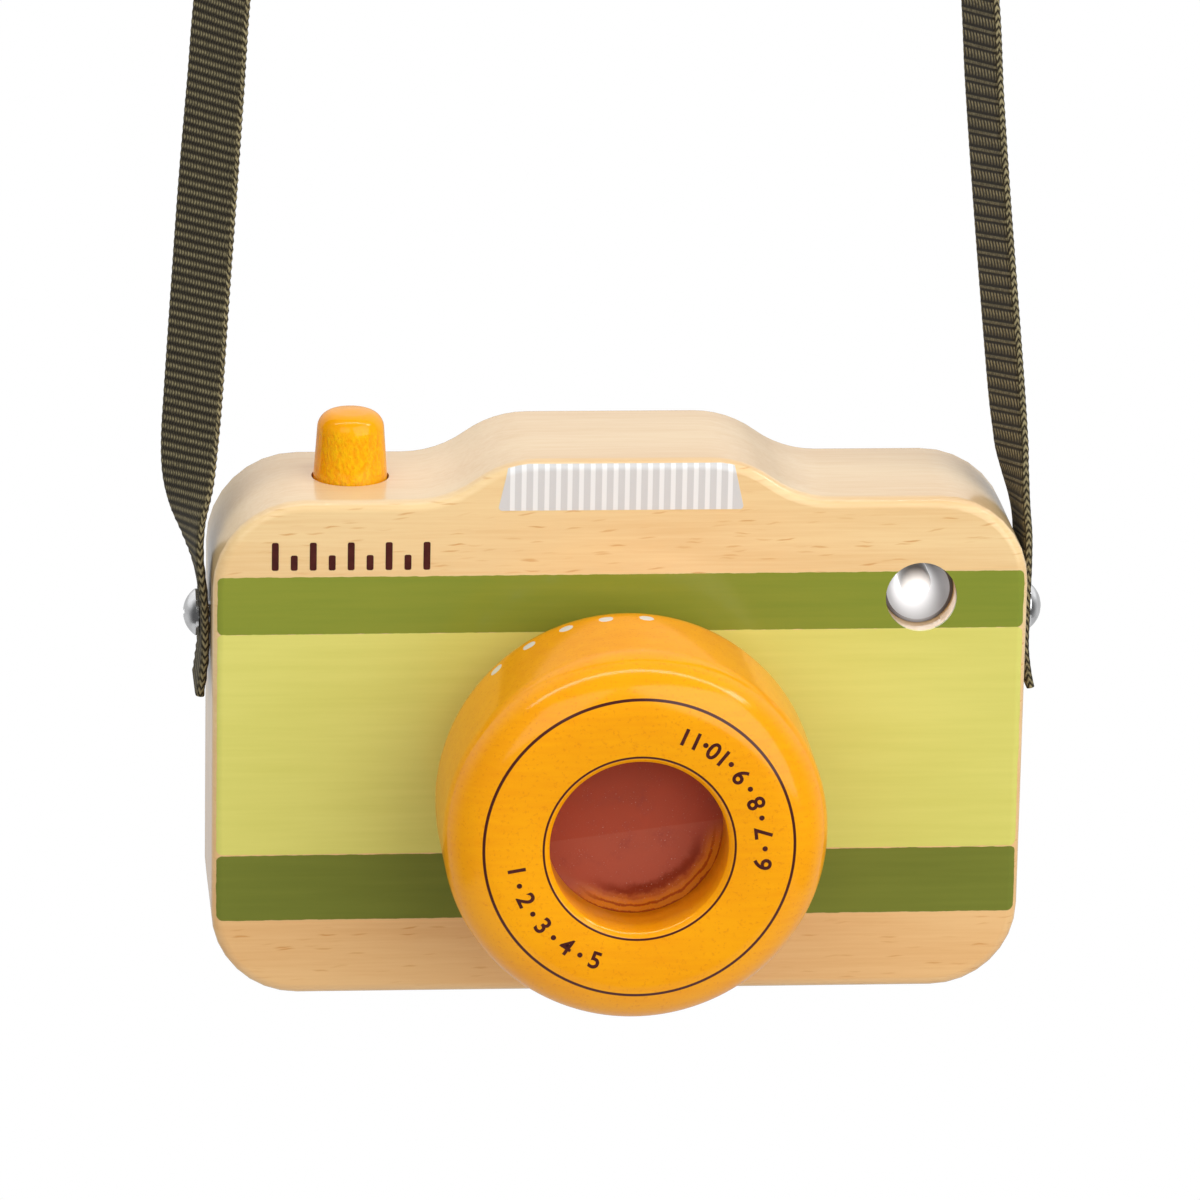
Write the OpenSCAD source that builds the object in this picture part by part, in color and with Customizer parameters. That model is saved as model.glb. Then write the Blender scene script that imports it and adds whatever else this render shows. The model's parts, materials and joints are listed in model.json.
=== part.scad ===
// Wooden toy camera on a neck strap. A beech block carries a turning kaleidoscope lens, a sprung
// shutter button, a small flash lamp with its battery, and a screwed back.
// Millimetres. The origin is the middle of the foot, +Z is up and the lens looks along -Y.

/* [Body] */
// Width of the wooden block
body_w = 130; // [124:1:150]
// Depth of the wooden block, front to back
body_depth = 30; // [27:0.5:36]
// Height of the shoulders above the foot
shoulder_h = 82.5; // [81:0.5:96]
// Rise of the hump above the shoulders
hump_rise = 6.6; // [3:0.2:9]
// Width of the hump's flat top
hump_flat_w = 27; // [20:0.5:36]
// Width of each curved flank of the hump
hump_slope_w = 20; // [12:0.5:22]
// Corner radius at the foot
foot_corner_r = 13.8; // [8:0.1:16]
// Corner radius at the shoulders
shoulder_corner_r = 14.5; // [10:0.5:16]
// Rounding of the front and back edges
edge_r = 1.8; // [0.8:0.1:3]

/* [Lens] */
// Height of the lens axis above the foot
lens_axis_h = 37; // [36:0.2:40]
// Outside diameter of the turning lens ring
lens_ring_d = 60.5; // [56:0.5:66]
// Length of the lens ring
lens_ring_len = 35.5; // [34:0.5:44]
// Rounding of the ring's front edge
lens_front_round = 8.3; // [3:0.1:10]
// Rounding of the ring's back edge
lens_back_round = 11; // [2:0.5:12]
// Diameter of the open mouth in front of the lens disc
lens_mouth_d = 28; // [24:0.5:29]
// Bevel around the mouth
lens_mouth_bevel = 0.8; // [0.3:0.1:1.5]
// Depth of the lens disc behind the ring's face
lens_recess = 10; // [8:0.5:13]
// Diameter of the faceted lens disc
lens_disc_d = 31; // [30:0.5:32]
// Thickness of the lens disc at its middle
lens_disc_t = 5; // [4:0.5:6.5]
// Thickness of the lens disc at its rim
lens_rim_t = 2.6; // [1.5:0.1:3.5]
// Width across the flat field in the middle of the facets
lens_field_w = 10; // [6:0.5:14]
// Facets around the field
lens_facets = 6; // [4:1:10]
// Thickness of the clamp ring behind the disc
clamp_t = 2.8; // [1.5:0.1:4]
// Outside diameter of the fixed sleeve that the ring turns on
sleeve_d = 33; // [32:0.5:36]
// Wall of the sleeve
sleeve_wall = 3.4; // [2.4:0.1:4]
// Thickness of the felt washer behind the ring
felt_t = 1.2; // [0.8:0.1:2]

/* [Flash] */
// Distance of the flash from the side of the block
flash_inset = 17.2; // [16.6:0.2:19]
// Distance of the flash below the shoulder
flash_drop = 16.4; // [15.6:0.2:19]
// Diameter of the flash hole
flash_d = 11.4; // [10:0.2:12]
// Depth of the reflector behind the front face
flash_recess = 4.5; // [2:0.5:5]
// Width of the circuit board
board_w = 22; // [20:0.5:23]
// Height of the circuit board
board_h = 24; // [20:0.5:26]

/* [Shutter] */
// Distance of the button from the side of the block
button_inset = 22.4; // [21:0.2:26]
// Diameter of the button at the shoulder
button_d = 11.8; // [9:0.1:13]
// Diameter of the button under its rounded top
button_top_d = 10.7; // [7.5:0.1:11]
// Height of the button above the shoulder
button_proud = 11; // [7:0.5:14]
// Rounding of the button's top
button_round = 2.8; // [1:0.1:3.5]
// Travel of the button
button_travel = 4; // [2:0.5:5]
// Length of the button's hole through the shoulder
button_guide = 13; // [11:0.5:15]
// Gap all round between the button and its hole
button_gap = 0.3; // [0.2:0.05:0.5]
// Wire of the return spring
spring_wire_d = 0.9; // [0.6:0.1:1.1]
// Middle diameter of the return spring's coil
spring_d = 11.6; // [11:0.1:12.5]
// Turns of the return spring
spring_turns = 4.5; // [3:0.5:5]

/* [Back] */
// Thickness of the rear cover
cover_t = 4; // [3.5:0.1:6]
// Land around the pockets that the rear cover lies on
cover_land = 6; // [5.6:0.2:6.6]
// Corner radius of the rear cover
cover_corner_r = 8; // [6:0.5:10]
// Diameter of the eye hole
eye_d = 20; // [14:0.5:24]
// Bevel around the eye hole
eye_bevel = 2.4; // [0.5:0.1:3]
// Thickness of the eyepiece window
window_t = 2; // [1:0.1:2.5]
// Thickness of the battery door
door_t = 2; // [1.2:0.1:2.6]
// Height of the battery case above the foot
battery_foot = 16; // [15:0.5:17]

/* [Strap] */
// Width of the strap
strap_w = 15; // [12:0.5:16]
// Thickness of the strap
strap_t = 1.5; // [1:0.1:2]
// Distance of the strap screws below the shoulder
strap_drop = 22.6; // [22:0.2:26]
// Diameter of the strap screws
strap_screw_d = 3.5; // [3:0.1:4]
// Length of the strap screws in the wood
strap_screw_len = 11.5; // [8:0.5:12]
// Head diameter of the strap screws
strap_head_d = 7.5; // [6.5:0.1:9]
// Head height of the strap screws
strap_head_h = 2.4; // [1.6:0.1:3]

/* [Hidden] */
$fn = 64;

// A cut runs this far past the face that it opens
overrun = 1;
// Gap of a glued or seated piece
seat_gap = 0.1;
// Gap of the ring on its sleeve
turning_gap = 0.08;
// Gap of a piece that moves past another
moving_gap = 0.3;
// Room around a piece that lies in a pocket
pocket_room = 0.5;
// Corner radius that the milling cutter leaves, and of a plate that lies in such a pocket
cutter_r = 2.5;
plate_corner_r = cutter_r - pocket_room;

// Faces of the block
front_y = -body_depth / 2;
back_y = body_depth / 2;
side_x = body_w / 2;
cover_in_y = back_y - cover_t;

// Block outline: the hump's flank is two equal arcs that meet in the middle
flank_angle = 2 * atan(hump_rise / hump_slope_w);
flank_r = hump_slope_w / (2 * sin(flank_angle));
hump_h = shoulder_h + hump_rise;
corner_steps = 8;
flank_steps = 6;
edge_steps = 4;

// Lens train, measured forward from the front face
ring_back_s = felt_t + moving_gap;
ring_face_s = ring_back_s + lens_ring_len;
disc_face_s = ring_face_s - lens_recess;
seat_depth = lens_disc_t + clamp_t + seat_gap;
seat_back_s = disc_face_s - seat_depth;
seat_r = lens_disc_d / 2 + seat_gap;
running_r = sleeve_d / 2 + turning_gap;
sleeve_tip_s = seat_back_s - moving_gap;
sleeve_bore_r = sleeve_d / 2 - sleeve_wall;
window_back_s = -(body_depth - cover_t - seat_gap);
sleeve_end_s = window_back_s + window_t + seat_gap;
facet_tilt = atan((lens_disc_t - lens_rim_t) / ((lens_disc_d - lens_field_w) / 2));

// Snap ring near the sleeve's tip
snap_t = 1.2;
snap_band = 1.7;
snap_open_angle = 30;
snap_land = 2.2;
snap_groove_depth = 0.9;
snap_back_s = sleeve_tip_s - snap_land - snap_t;
snap_inner_r = sleeve_d / 2 - snap_groove_depth + seat_gap;
snap_outer_r = snap_inner_r + snap_band;
felt_band = 8;
// Land of the clamp ring behind the rim of the disc
clamp_land = 2.4;

// Flash
flash_x = side_x - flash_inset;
flash_h = shoulder_h - flash_drop;
lamp_d = 5;
lamp_len = 8.6;
lamp_rim_d = 5.8;
lamp_rim_t = 1;
lamp_sink = 1;
reflector_lip = 0.5;
reflector_steps = 6;
board_t = 1.6;
board_past = 3;
board_over = 6;
board_front_y = front_y + flash_recess + lamp_sink + lamp_len;
board_back_y = board_front_y + board_t;
board_right = flash_x + board_past;
board_left = board_right - board_w;
board_top = flash_h + board_over;
board_foot = board_top - board_h;
reflector_back_y = board_front_y - lamp_rim_t - seat_gap;
chip_w = 6;
chip_h = 5;
chip_t = 1.8;
can_d = 5;
can_room = 2.8;
can_len = cover_in_y - board_back_y - can_room;
board_screw_d = 2;
board_screw_len = 6;
board_screw_inset = 2.5;
board_head_d = 3.6;
board_head_h = 1.3;

// Shutter: the button hangs on its washer under the shoulder
button_x = -(side_x - button_inset);
guide_foot = shoulder_h - button_guide;
washer_land = 1.1;
washer_d = button_d + 2 * (button_gap + washer_land);
washer_t = 1.5;
washer_top = guide_foot - moving_gap;
washer_foot = washer_top - washer_t;
peg_screw_d = 3;
peg_screw_len = 8;
peg_head_d = 5.5;
peg_head_h = 1.8;
plunger_d = 3.4;
plunger_h = 1.4;
switch_w = 6;
switch_h = 3.5;
plunger_top = washer_foot - peg_head_h - button_travel - moving_gap;
shelf_top = plunger_top - plunger_h - switch_h;
bracket_t = 1.2;
bracket_w = 18;
bracket_drop = 11;
bracket_foot = shelf_top - bracket_t - bracket_drop;
shelf_back_y = (spring_d + spring_wire_d) / 2 + pocket_room;
button_pocket_front = -(washer_d / 2 + pocket_room);
bracket_screw_d = 2.4;
bracket_screw_len = 4;
bracket_screw_pitch = 10;
bracket_screw_drop = 6;
bracket_head_d = 4.4;
bracket_head_h = 1.4;
pin_d = 1;
pin_pitch = 4.5;
pin_drop = 1.6;
spring_foot = shelf_top + spring_wire_d / 2 + seat_gap;
spring_top = washer_foot - spring_wire_d / 2 - seat_gap;
spring_sides = 6;
spring_rings_per_turn = 8;

// Battery: three button cells in a row
cell_count = 3;
cell_d = 11.6;
cell_t = 5.4;
cell_play = 0.2;
cell_step = 0.4;
cell_gap = 0.05;
case_wall = 1.2;
contact_t = 0.5;
contact_bump_h = 0.9;
contact_bump_d = 5;
contact_tab = 1.2;
contact_tab_w = 3;
battery_inset = 5;
case_len = cell_count * cell_t + 2 * (case_wall + contact_t + seat_gap) + contact_bump_h;
case_h = cell_d + 2 * (case_wall + cell_play);
case_depth = case_wall + cell_d + cell_play;
case_right = board_right - battery_inset;
case_left = case_right - case_len;
case_top = battery_foot + case_h;
case_front_y = cover_in_y - moving_gap - case_depth;
cell_y = case_front_y + case_wall + cell_d / 2;
cell_h = battery_foot + case_h / 2;
contact_left_x = case_left + case_wall;
contact_right_x = case_right - case_wall - contact_t;
door_lip = 2;
door_tab = 7;
door_corner_r = 2;
door_screw_d = 2.4;
door_screw_len = 7;
door_head_d = 4.2;
door_lo = [case_left - door_tab, battery_foot - door_lip];
door_hi = [case_right + door_lip, case_top + door_lip];
door_screw_x = door_lo.x + door_tab / 2;

// Pockets behind the front wall
pocket_left = button_x - bracket_w / 2 - pocket_room;
pocket_right = board_right + pocket_room;
wire_room = 5.5;
wire_slot_w = 7;
wire_slot_depth = 7;
boss_wall = 4.9;
boss_r = sleeve_d / 2 + boss_wall;
channel_foot = lens_axis_h + boss_r;
channel_top = channel_foot + wire_slot_w;
channel_y = (board_back_y + cover_in_y) / 2;
slot_floor_y = channel_y - wire_slot_depth / 2;
shelf_side_x = button_x + bracket_w / 2;
riser_x = (board_left + board_right) / 2;
cover_half = max(-pocket_left, pocket_right) + cover_land;
cover_lo = [-cover_half, min(battery_foot - pocket_room, lens_axis_h - boss_r) - cover_land];
cover_hi = [cover_half, max(guide_foot, board_top + pocket_room) + cover_land];
cover_screw_d = 2.5;
cover_screw_len = 8;
cover_head_d = 4.4;
cover_screw_inset = 4.5;
cover_screw_xs = [cover_lo.x + cover_screw_inset, 0, cover_hi.x - cover_screw_inset];
cover_screw_hs = [cover_lo.y + cover_screw_inset, cover_hi.y - cover_screw_inset];

// Strap: width across the turn, thickness, hole for the screw
strap_screw_h = shoulder_h - strap_drop;
strap_gap = 0.15;
strap_corner_share = 0.35;
strap_out = strap_t + 2 * strap_gap;
strap_cap_share = 0.45;
driver_w = 1;
driver_len = 4;
driver_depth = 1.3;

// Route of the strap from its left tail over the neck loop to its right tail: across, height, turn.
// The turn swings the strap's front edge to the right, seen from above.
strap_route = [
    [-66.7, 46, 0], [-66.3, 50, 0], [-65.9, 55, 0], [-65.9, 59.9, 0], [-65.9, 64, 0], [-66.2, 68, 2],
    [-66.9, 72, 7], [-67.7, 76.5, 16], [-68.1, 81.5, 26], [-68, 87, 30], [-67.6, 95, 32], [-66.6, 111, 32],
    [-65.5, 128, 32], [-64.4, 144, 30.5], [-63.4, 160, 29], [-60.4, 176, 24], [-54, 192, 17], [-43, 207, 10],
    [-24, 219, 4], [-2, 223, 0], [20, 219, 4], [38, 207, 8], [48.5, 192, 11], [53.5, 176, 13],
    [56.4, 160, 13], [57.8, 144, 13], [59.4, 127.5, 12.5], [61.2, 111, 12], [62.9, 94.5, 11], [63.6, 88, 9],
    [64, 84.5, 7], [64.7, 81, 3.5], [65.4, 77, 1], [65.9, 73, 0], [66, 68.5, 0], [65.9, 64, 0],
    [65.9, 59.9, 0], [65.9, 55, 0], [66.4, 50, 0], [67, 46.3, 0]];

// Wires, two side by side, with a bend at each corner of their routes
wire_d = 1.2;
wire_sides = 8;
wire_step = 1.8;
wire_bend = 2;
bend_share = 0.45;
wire_end_y = board_back_y + wire_d / 2 + seat_gap;

// From the switch pins under the shelf, up beside it, along the channel and to the circuit board
pin_tip = shelf_top - bracket_t - pin_drop;
under_pins = pin_tip - 2 * wire_bend;
beside_shelf_x = shelf_side_x + wire_slot_w / 4;
channel_mid = (channel_foot + channel_top) / 2;
function switch_wire(side) =
    let (pin_x = button_x + side * pin_pitch / 2, y = channel_y - side * wire_step / 2,
        end_x = board_left + (wire_slot_w - side * wire_step) / 2)
    [[pin_x, 0, pin_tip - moving_gap], [pin_x, 0, under_pins], [pin_x, y, under_pins],
        [beside_shelf_x, y, under_pins], [beside_shelf_x, y, channel_mid], [end_x, y, channel_mid],
        [end_x, wire_end_y, board_foot + board_h / 2]];

// From the battery contacts over the case and up the riser to the circuit board
over_tabs = case_top + (contact_tab + wire_room) / 2;
function battery_wire(side) =
    let (tab_x = (side < 0 ? contact_left_x : contact_right_x) + contact_t / 2,
        x = riser_x + side * wire_step / 2)
    [[tab_x, cell_y, case_top + contact_tab + moving_gap], [tab_x, cell_y, over_tabs],
        [x, channel_y, over_tabs], [x, channel_y, board_foot],
        [x, wire_end_y, board_foot + wire_room]];

// Unit vector, and the unit part of w that is square to t
function unit(v) = v / norm(v);
function square_to(w, t) = unit(w - (w * t) * t);
function along(route, i) = unit(route[min(i + 1, len(route) - 1)] - route[max(i - 1, 0)]);

// One ring of a section set square on a route
function ring(section, place, t, w) = [for (s = section) place + s.x * w + s.y * cross(t, w)];

// Section of a round wire, and of a flat band with cut corners
function round_section(d, sides) =
    [for (i = [0 : sides - 1]) let (a = 360 * i / sides) d / 2 * [cos(a), sin(a)]];
function band_section(w, t, cut) = [[w / 2 - cut, -t / 2], [w / 2, -t / 2 + cut], [w / 2, t / 2 - cut],
    [w / 2 - cut, t / 2], [-w / 2 + cut, t / 2], [-w / 2, t / 2 - cut], [-w / 2, -t / 2 + cut],
    [-w / 2 + cut, -t / 2]];

// Triangles around a tube of rings, and over its two ends where the rings bulge all round
function tube_sides(rings, sides) =
    [for (i = [0 : rings - 2], j = [0 : sides - 1], half = [0, 1])
        let (a = i * sides + j, b = i * sides + (j + 1) % sides)
        half == 0 ? [a, a + sides, b] : [b, a + sides, b + sides]];
function tube_ends(rings, sides) = let (last = (rings - 1) * sides)
    [for (j = [1 : sides - 2], end = [0, 1]) end == 0 ? [0, j, j + 1] : [last, last + j + 1, last + j]];

module tube(rings) {
    sides = len(rings[0]);
    polyhedron(points = [for (r = rings, p = r) p],
        faces = concat(tube_sides(len(rings), sides), tube_ends(len(rings), sides)));
}

// Route that cuts off each corner by a bend
function eased(line) = let (last = len(line) - 1)
    [for (i = [0 : last], step = i == 0 || i == last ? [0] : [-1, 1])
        let (leg = line[i + step] - line[i])
        step == 0 ? line[i] : line[i] + unit(leg) * min(wire_bend, bend_share * norm(leg))];

// Round wire through the corners of a line
module wire(line) {
    lean = unit([1, 1, 1]);
    section = round_section(wire_d, wire_sides);
    route = eased(line);
    tube([for (i = [0 : len(route) - 1])
        let (t = along(route, i)) ring(section, route[i], t, square_to(lean, t))]);
}

// Points of an arc
function arc(centre, r, from, to, steps) =
    [for (i = [0 : steps]) let (a = from + (to - from) * i / steps) centre + r * [cos(a), sin(a)]];

// Right half of the block's outline, drawn in by an inset, from the foot to the hump
function half_outline(inset) = concat(
    arc([side_x - foot_corner_r, foot_corner_r], foot_corner_r - inset, -90, 0, corner_steps),
    arc([side_x - shoulder_corner_r, shoulder_h - shoulder_corner_r], shoulder_corner_r - inset, 0, 90,
        corner_steps),
    arc([hump_flat_w / 2 + hump_slope_w, shoulder_h + flank_r], flank_r + inset, -90, -90 - flank_angle,
        flank_steps),
    [for (p = arc([hump_flat_w / 2, hump_h - flank_r], flank_r - inset, 90 - flank_angle, 90, flank_steps))
        if (p.x < hump_flat_w / 2 + (flank_r - inset) * sin(flank_angle) - seat_gap) p]);

function outline(inset) = let (half = half_outline(inset), n = len(half))
    concat(half, [for (i = [n - 1 : -1 : 0]) [-half[i].x, half[i].y]]);

// Block with rounded front and back edges
module block() {
    turns = [for (i = [0 : edge_steps]) 90 * i / edge_steps];
    back = [for (i = [edge_steps : -1 : 0])
        [back_y - edge_r * (1 - sin(turns[i])), edge_r * (1 - cos(turns[i]))]];
    front = [for (i = [0 : edge_steps])
        [front_y + edge_r * (1 - sin(turns[i])), edge_r * (1 - cos(turns[i]))]];
    rows = concat(back, front);
    sides = len(outline(0));
    last = (len(rows) - 1) * sides;
    polyhedron(points = [for (row = rows, p = outline(row[1])) [p.x, row[0], p.y]],
        faces = concat(tube_sides(len(rows), sides),
            [[for (j = [0 : sides - 1]) j]], [[for (j = [sides - 1 : -1 : 0]) last + j]]));
}

// Places with local +Z forward from the front face, or backward from the rear cover's back
module forward(x, h) {
    translate([x, front_y, h]) rotate([90, 0, 0]) children();
}

module backward(x, h, y) {
    translate([x, y, h]) rotate([-90, 0, 0]) children();
}

// Upright plate with round corners, between two corners and two depths
module plate(lo, hi, y0, y1, r) {
    size = hi - lo;
    translate([lo.x, y1, lo.y])
        rotate([90, 0, 0])
            linear_extrude(y1 - y0) {
                translate([r, 0]) square([size.x - 2 * r, size.y]);
                translate([0, r]) square([size.x, size.y - 2 * r]);
                for (x = [r, size.x - r], z = [r, size.y - r]) translate([x, z]) circle(r);
            }
}

// Pan-head screw whose head sits above local z 0
module pan_screw(d, length, head_d, head_h) {
    translate([0, 0, -length]) cylinder(d = d, h = length);
    cylinder(d = head_d, h = head_h * strap_cap_share);
    translate([0, 0, head_h * strap_cap_share])
        cylinder(d1 = head_d, d2 = head_d * (1 - strap_cap_share), h = head_h * (1 - strap_cap_share));
}

// Countersunk screw whose head is flush at local z 0
module flush_screw(d, length, head_d) {
    translate([0, 0, -length]) cylinder(d = d, h = length);
    translate([0, 0, -(head_d - d) / 2]) cylinder(d1 = d, d2 = head_d, h = (head_d - d) / 2);
}

// Hole for a countersunk screw, open at local z 0
module flush_hole(d, length, head_d) {
    wide = 2 * seat_gap;
    translate([0, 0, -length - seat_gap]) cylinder(d = d + wide, h = length + seat_gap + overrun);
    translate([0, 0, -(head_d - d) / 2]) cylinder(d1 = d + wide, d2 = head_d + wide, h = (head_d - d) / 2);
}

module at_cover_screws() {
    for (x = cover_screw_xs, h = cover_screw_hs) backward(x, h, back_y) children();
}

module at_board_screws() {
    for (h = [board_foot + board_screw_inset, board_top - board_screw_inset])
        backward(board_left + board_screw_inset, h, board_back_y) children();
}

module at_bracket_screws() {
    for (side = [-1, 1])
        backward(button_x + side * bracket_screw_pitch / 2, shelf_top - bracket_t - bracket_screw_drop,
            button_pocket_front + bracket_t) children();
}

// Places with local +Z outward from the left and right sides
module at_strap_screws() {
    for (side = [-1, 1]) translate([side * side_x, 0, strap_screw_h]) rotate([0, side * 90, 0]) children();
}

module screw_hole(d, length) {
    translate([0, 0, -length - seat_gap]) cylinder(d = d + 2 * seat_gap, h = length + seat_gap + overrun);
}

// Pockets milled from the back
module pockets() {
    back = back_y + overrun;
    plate([cover_lo.x - seat_gap, cover_lo.y - seat_gap], [cover_hi.x + seat_gap, cover_hi.y + seat_gap],
        cover_in_y, back, cover_corner_r + seat_gap);
    plate([pocket_left, bracket_foot - pocket_room], [button_x + bracket_w / 2 + pocket_room, guide_foot],
        button_pocket_front, back, cutter_r);
    plate([board_left - pocket_room, board_foot - pocket_room], [pocket_right, board_top + pocket_room],
        board_front_y, back, cutter_r);
    plate([case_left - pocket_room, battery_foot - seat_gap],
        [case_right + pocket_room, case_top + wire_room], case_front_y, back, cutter_r);
    plate([shelf_side_x - wire_slot_w / 2, min(under_pins, channel_mid) - wire_slot_w / 2],
        [shelf_side_x + wire_slot_w / 2, max(under_pins, channel_mid) + wire_slot_w / 2],
        slot_floor_y, back, cutter_r);
    plate([shelf_side_x - wire_slot_w / 2, channel_foot], [board_left + wire_slot_w, channel_top],
        slot_floor_y, back, cutter_r);
    plate([board_left, min(channel_foot, board_top - wire_slot_w)],
        [board_left + wire_slot_w, max(channel_top, board_foot + wire_slot_w)], slot_floor_y, back, cutter_r);
    plate([riser_x - wire_slot_w / 2, case_top], [riser_x + wire_slot_w / 2, board_foot + wire_slot_w],
        slot_floor_y, back, cutter_r);
}

module body_block() {
    color("burlywood") difference() {
        block();
        pockets();
        translate([0, front_y - overrun, lens_axis_h]) rotate([-90, 0, 0])
            cylinder(d = sleeve_d + 2 * seat_gap, h = body_depth + 2 * overrun);
        translate([flash_x, front_y - overrun, flash_h]) rotate([-90, 0, 0])
            cylinder(d = flash_d, h = board_front_y - front_y + 2 * overrun);
        translate([button_x, 0, guide_foot - overrun])
            cylinder(d = button_d + 2 * button_gap, h = button_guide + 2 * overrun);
        at_cover_screws() flush_hole(cover_screw_d, cover_screw_len, cover_head_d);
        backward(door_screw_x, cell_h, back_y) flush_hole(door_screw_d, door_screw_len, door_head_d);
        at_board_screws() screw_hole(board_screw_d, board_screw_len);
        at_bracket_screws() screw_hole(bracket_screw_d, bracket_screw_len);
        at_strap_screws() screw_hole(strap_screw_d, strap_screw_len);
    }
}

module rear_cover() {
    opening_lo = [case_left + case_wall, battery_foot + case_wall];
    opening_hi = [case_right - case_wall, case_top - case_wall];
    rim = [seat_gap, seat_gap];
    color("tan") difference() {
        plate(cover_lo, cover_hi, cover_in_y, back_y, cover_corner_r);
        plate(opening_lo, opening_hi, cover_in_y - overrun, back_y + overrun, door_corner_r);
        plate(door_lo - rim, door_hi + rim, back_y - door_t, back_y + overrun, door_corner_r);
        backward(0, lens_axis_h, cover_in_y - overrun) cylinder(d = eye_d, h = cover_t + 2 * overrun);
        backward(0, lens_axis_h, back_y - eye_bevel)
            cylinder(d1 = eye_d, d2 = eye_d + 2 * eye_bevel, h = eye_bevel);
        at_cover_screws() flush_hole(cover_screw_d, cover_screw_len, cover_head_d);
        backward(door_screw_x, cell_h, back_y) flush_hole(door_screw_d, door_screw_len, door_head_d);
    }
}

module rear_cover_screws() {
    color("silver") at_cover_screws() flush_screw(cover_screw_d, cover_screw_len, cover_head_d);
}

module battery_door() {
    color("dimgray") difference() {
        plate(door_lo, door_hi, back_y - door_t, back_y, door_corner_r);
        backward(door_screw_x, cell_h, back_y) flush_hole(door_screw_d, door_screw_len, door_head_d);
    }
}

module battery_door_screw() {
    color("silver") backward(door_screw_x, cell_h, back_y)
        flush_screw(door_screw_d, door_screw_len, door_head_d);
}

module eyepiece_window() {
    color("lightblue") forward(0, lens_axis_h) translate([0, 0, window_back_s])
        cylinder(d = sleeve_d, h = window_t);
}

// Fixed sleeve, grooved near its tip for the snap ring
module lens_sleeve() {
    color("peru") forward(0, lens_axis_h) difference() {
        translate([0, 0, sleeve_end_s]) cylinder(d = sleeve_d, h = sleeve_tip_s - sleeve_end_s);
        translate([0, 0, sleeve_end_s - overrun])
            cylinder(r = sleeve_bore_r, h = sleeve_tip_s - sleeve_end_s + 2 * overrun);
        translate([0, 0, snap_back_s - seat_gap]) difference() {
            cylinder(d = sleeve_d + 2 * overrun, h = snap_t + 2 * seat_gap);
            translate([0, 0, -overrun])
                cylinder(d = sleeve_d - 2 * snap_groove_depth, h = snap_t + 2 * seat_gap + 2 * overrun);
        }
    }
}

module snap_ring() {
    color("silver") forward(0, lens_axis_h) translate([0, 0, snap_back_s])
        rotate_extrude(angle = 360 - snap_open_angle)
            translate([snap_inner_r, 0]) square([snap_band, snap_t]);
}

module felt_washer() {
    color("darkolivegreen") forward(0, lens_axis_h) difference() {
        cylinder(r = running_r + seat_gap + felt_band, h = felt_t);
        translate([0, 0, -overrun]) cylinder(r = running_r + seat_gap, h = felt_t + 2 * overrun);
    }
}

// Corner to take off a profile so that it becomes round, with its round centre at the origin
module corner_waste(r) {
    difference() {
        square(r + overrun);
        circle(r);
    }
}

// Turned wooden ring with round edges
module lens_ring() {
    ring_r = lens_ring_d / 2;
    mouth_r = lens_mouth_d / 2;
    bevel_r = mouth_r + lens_mouth_bevel;
    color("orange") forward(0, lens_axis_h) difference() {
        rotate_extrude() difference() {
            translate([0, ring_back_s]) square([ring_r, lens_ring_len]);
            translate([ring_r - lens_front_round, ring_face_s - lens_front_round])
                corner_waste(lens_front_round);
            translate([ring_r - lens_back_round, ring_back_s + lens_back_round]) mirror([0, 1, 0])
                corner_waste(lens_back_round);
        }
        translate([0, 0, ring_back_s - overrun])
            cylinder(r = running_r, h = seat_back_s - ring_back_s + overrun);
        translate([0, 0, seat_back_s - overrun]) cylinder(r = seat_r, h = seat_depth + overrun);
        translate([0, 0, disc_face_s - overrun]) cylinder(r = mouth_r, h = lens_recess + 2 * overrun);
        translate([0, 0, ring_face_s - lens_mouth_bevel])
            cylinder(r1 = mouth_r, r2 = bevel_r, h = lens_mouth_bevel);
        translate([0, 0, snap_back_s - moving_gap])
            cylinder(r = snap_outer_r + moving_gap, h = snap_t + 2 * moving_gap);
    }
}

// Clear disc with a flat front and a ring of facets behind
module kaleidoscope_lens() {
    color("lightcyan") forward(0, lens_axis_h) translate([0, 0, disc_face_s]) mirror([0, 0, 1]) difference() {
        cylinder(d = lens_disc_d, h = lens_disc_t);
        for (i = [0 : lens_facets - 1])
            rotate([0, 0, 360 * i / lens_facets])
                translate([lens_field_w / 2, -lens_disc_d, lens_disc_t])
                    rotate([0, facet_tilt, 0]) cube([lens_disc_d, 2 * lens_disc_d, lens_disc_t]);
    }
}

module lens_clamp_ring() {
    clamp_back_s = disc_face_s - lens_disc_t - clamp_t;
    color("sienna") forward(0, lens_axis_h) translate([0, 0, clamp_back_s]) difference() {
        cylinder(d = lens_disc_d, h = clamp_t);
        translate([0, 0, -overrun]) cylinder(r = lens_disc_d / 2 - clamp_land, h = clamp_t + 2 * overrun);
    }
}

// Silver cup, deep and round inside, with a hole for the lamp
module flash_reflector() {
    depth = reflector_back_y - front_y - flash_recess;
    cup_r = flash_d / 2 - seat_gap;
    mouth_r = cup_r - reflector_lip;
    hole_r = lamp_d / 2 + seat_gap;
    curve = [for (i = [0 : reflector_steps]) let (k = i / reflector_steps)
        [hole_r + (mouth_r - hole_r) * sqrt(k), depth * k]];
    color("silver") forward(flash_x, flash_h) translate([0, 0, -flash_recess - depth])
        rotate_extrude() polygon(concat([[cup_r, depth], [cup_r, 0]], curve));
}

module flash_lamp() {
    dome_r = lamp_d / 2;
    color("whitesmoke") forward(flash_x, flash_h) translate([0, 0, front_y - board_front_y]) {
        cylinder(d = lamp_rim_d, h = lamp_rim_t);
        cylinder(d = lamp_d, h = lamp_len - dome_r);
        translate([0, 0, lamp_len - dome_r]) sphere(dome_r);
    }
}

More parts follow.
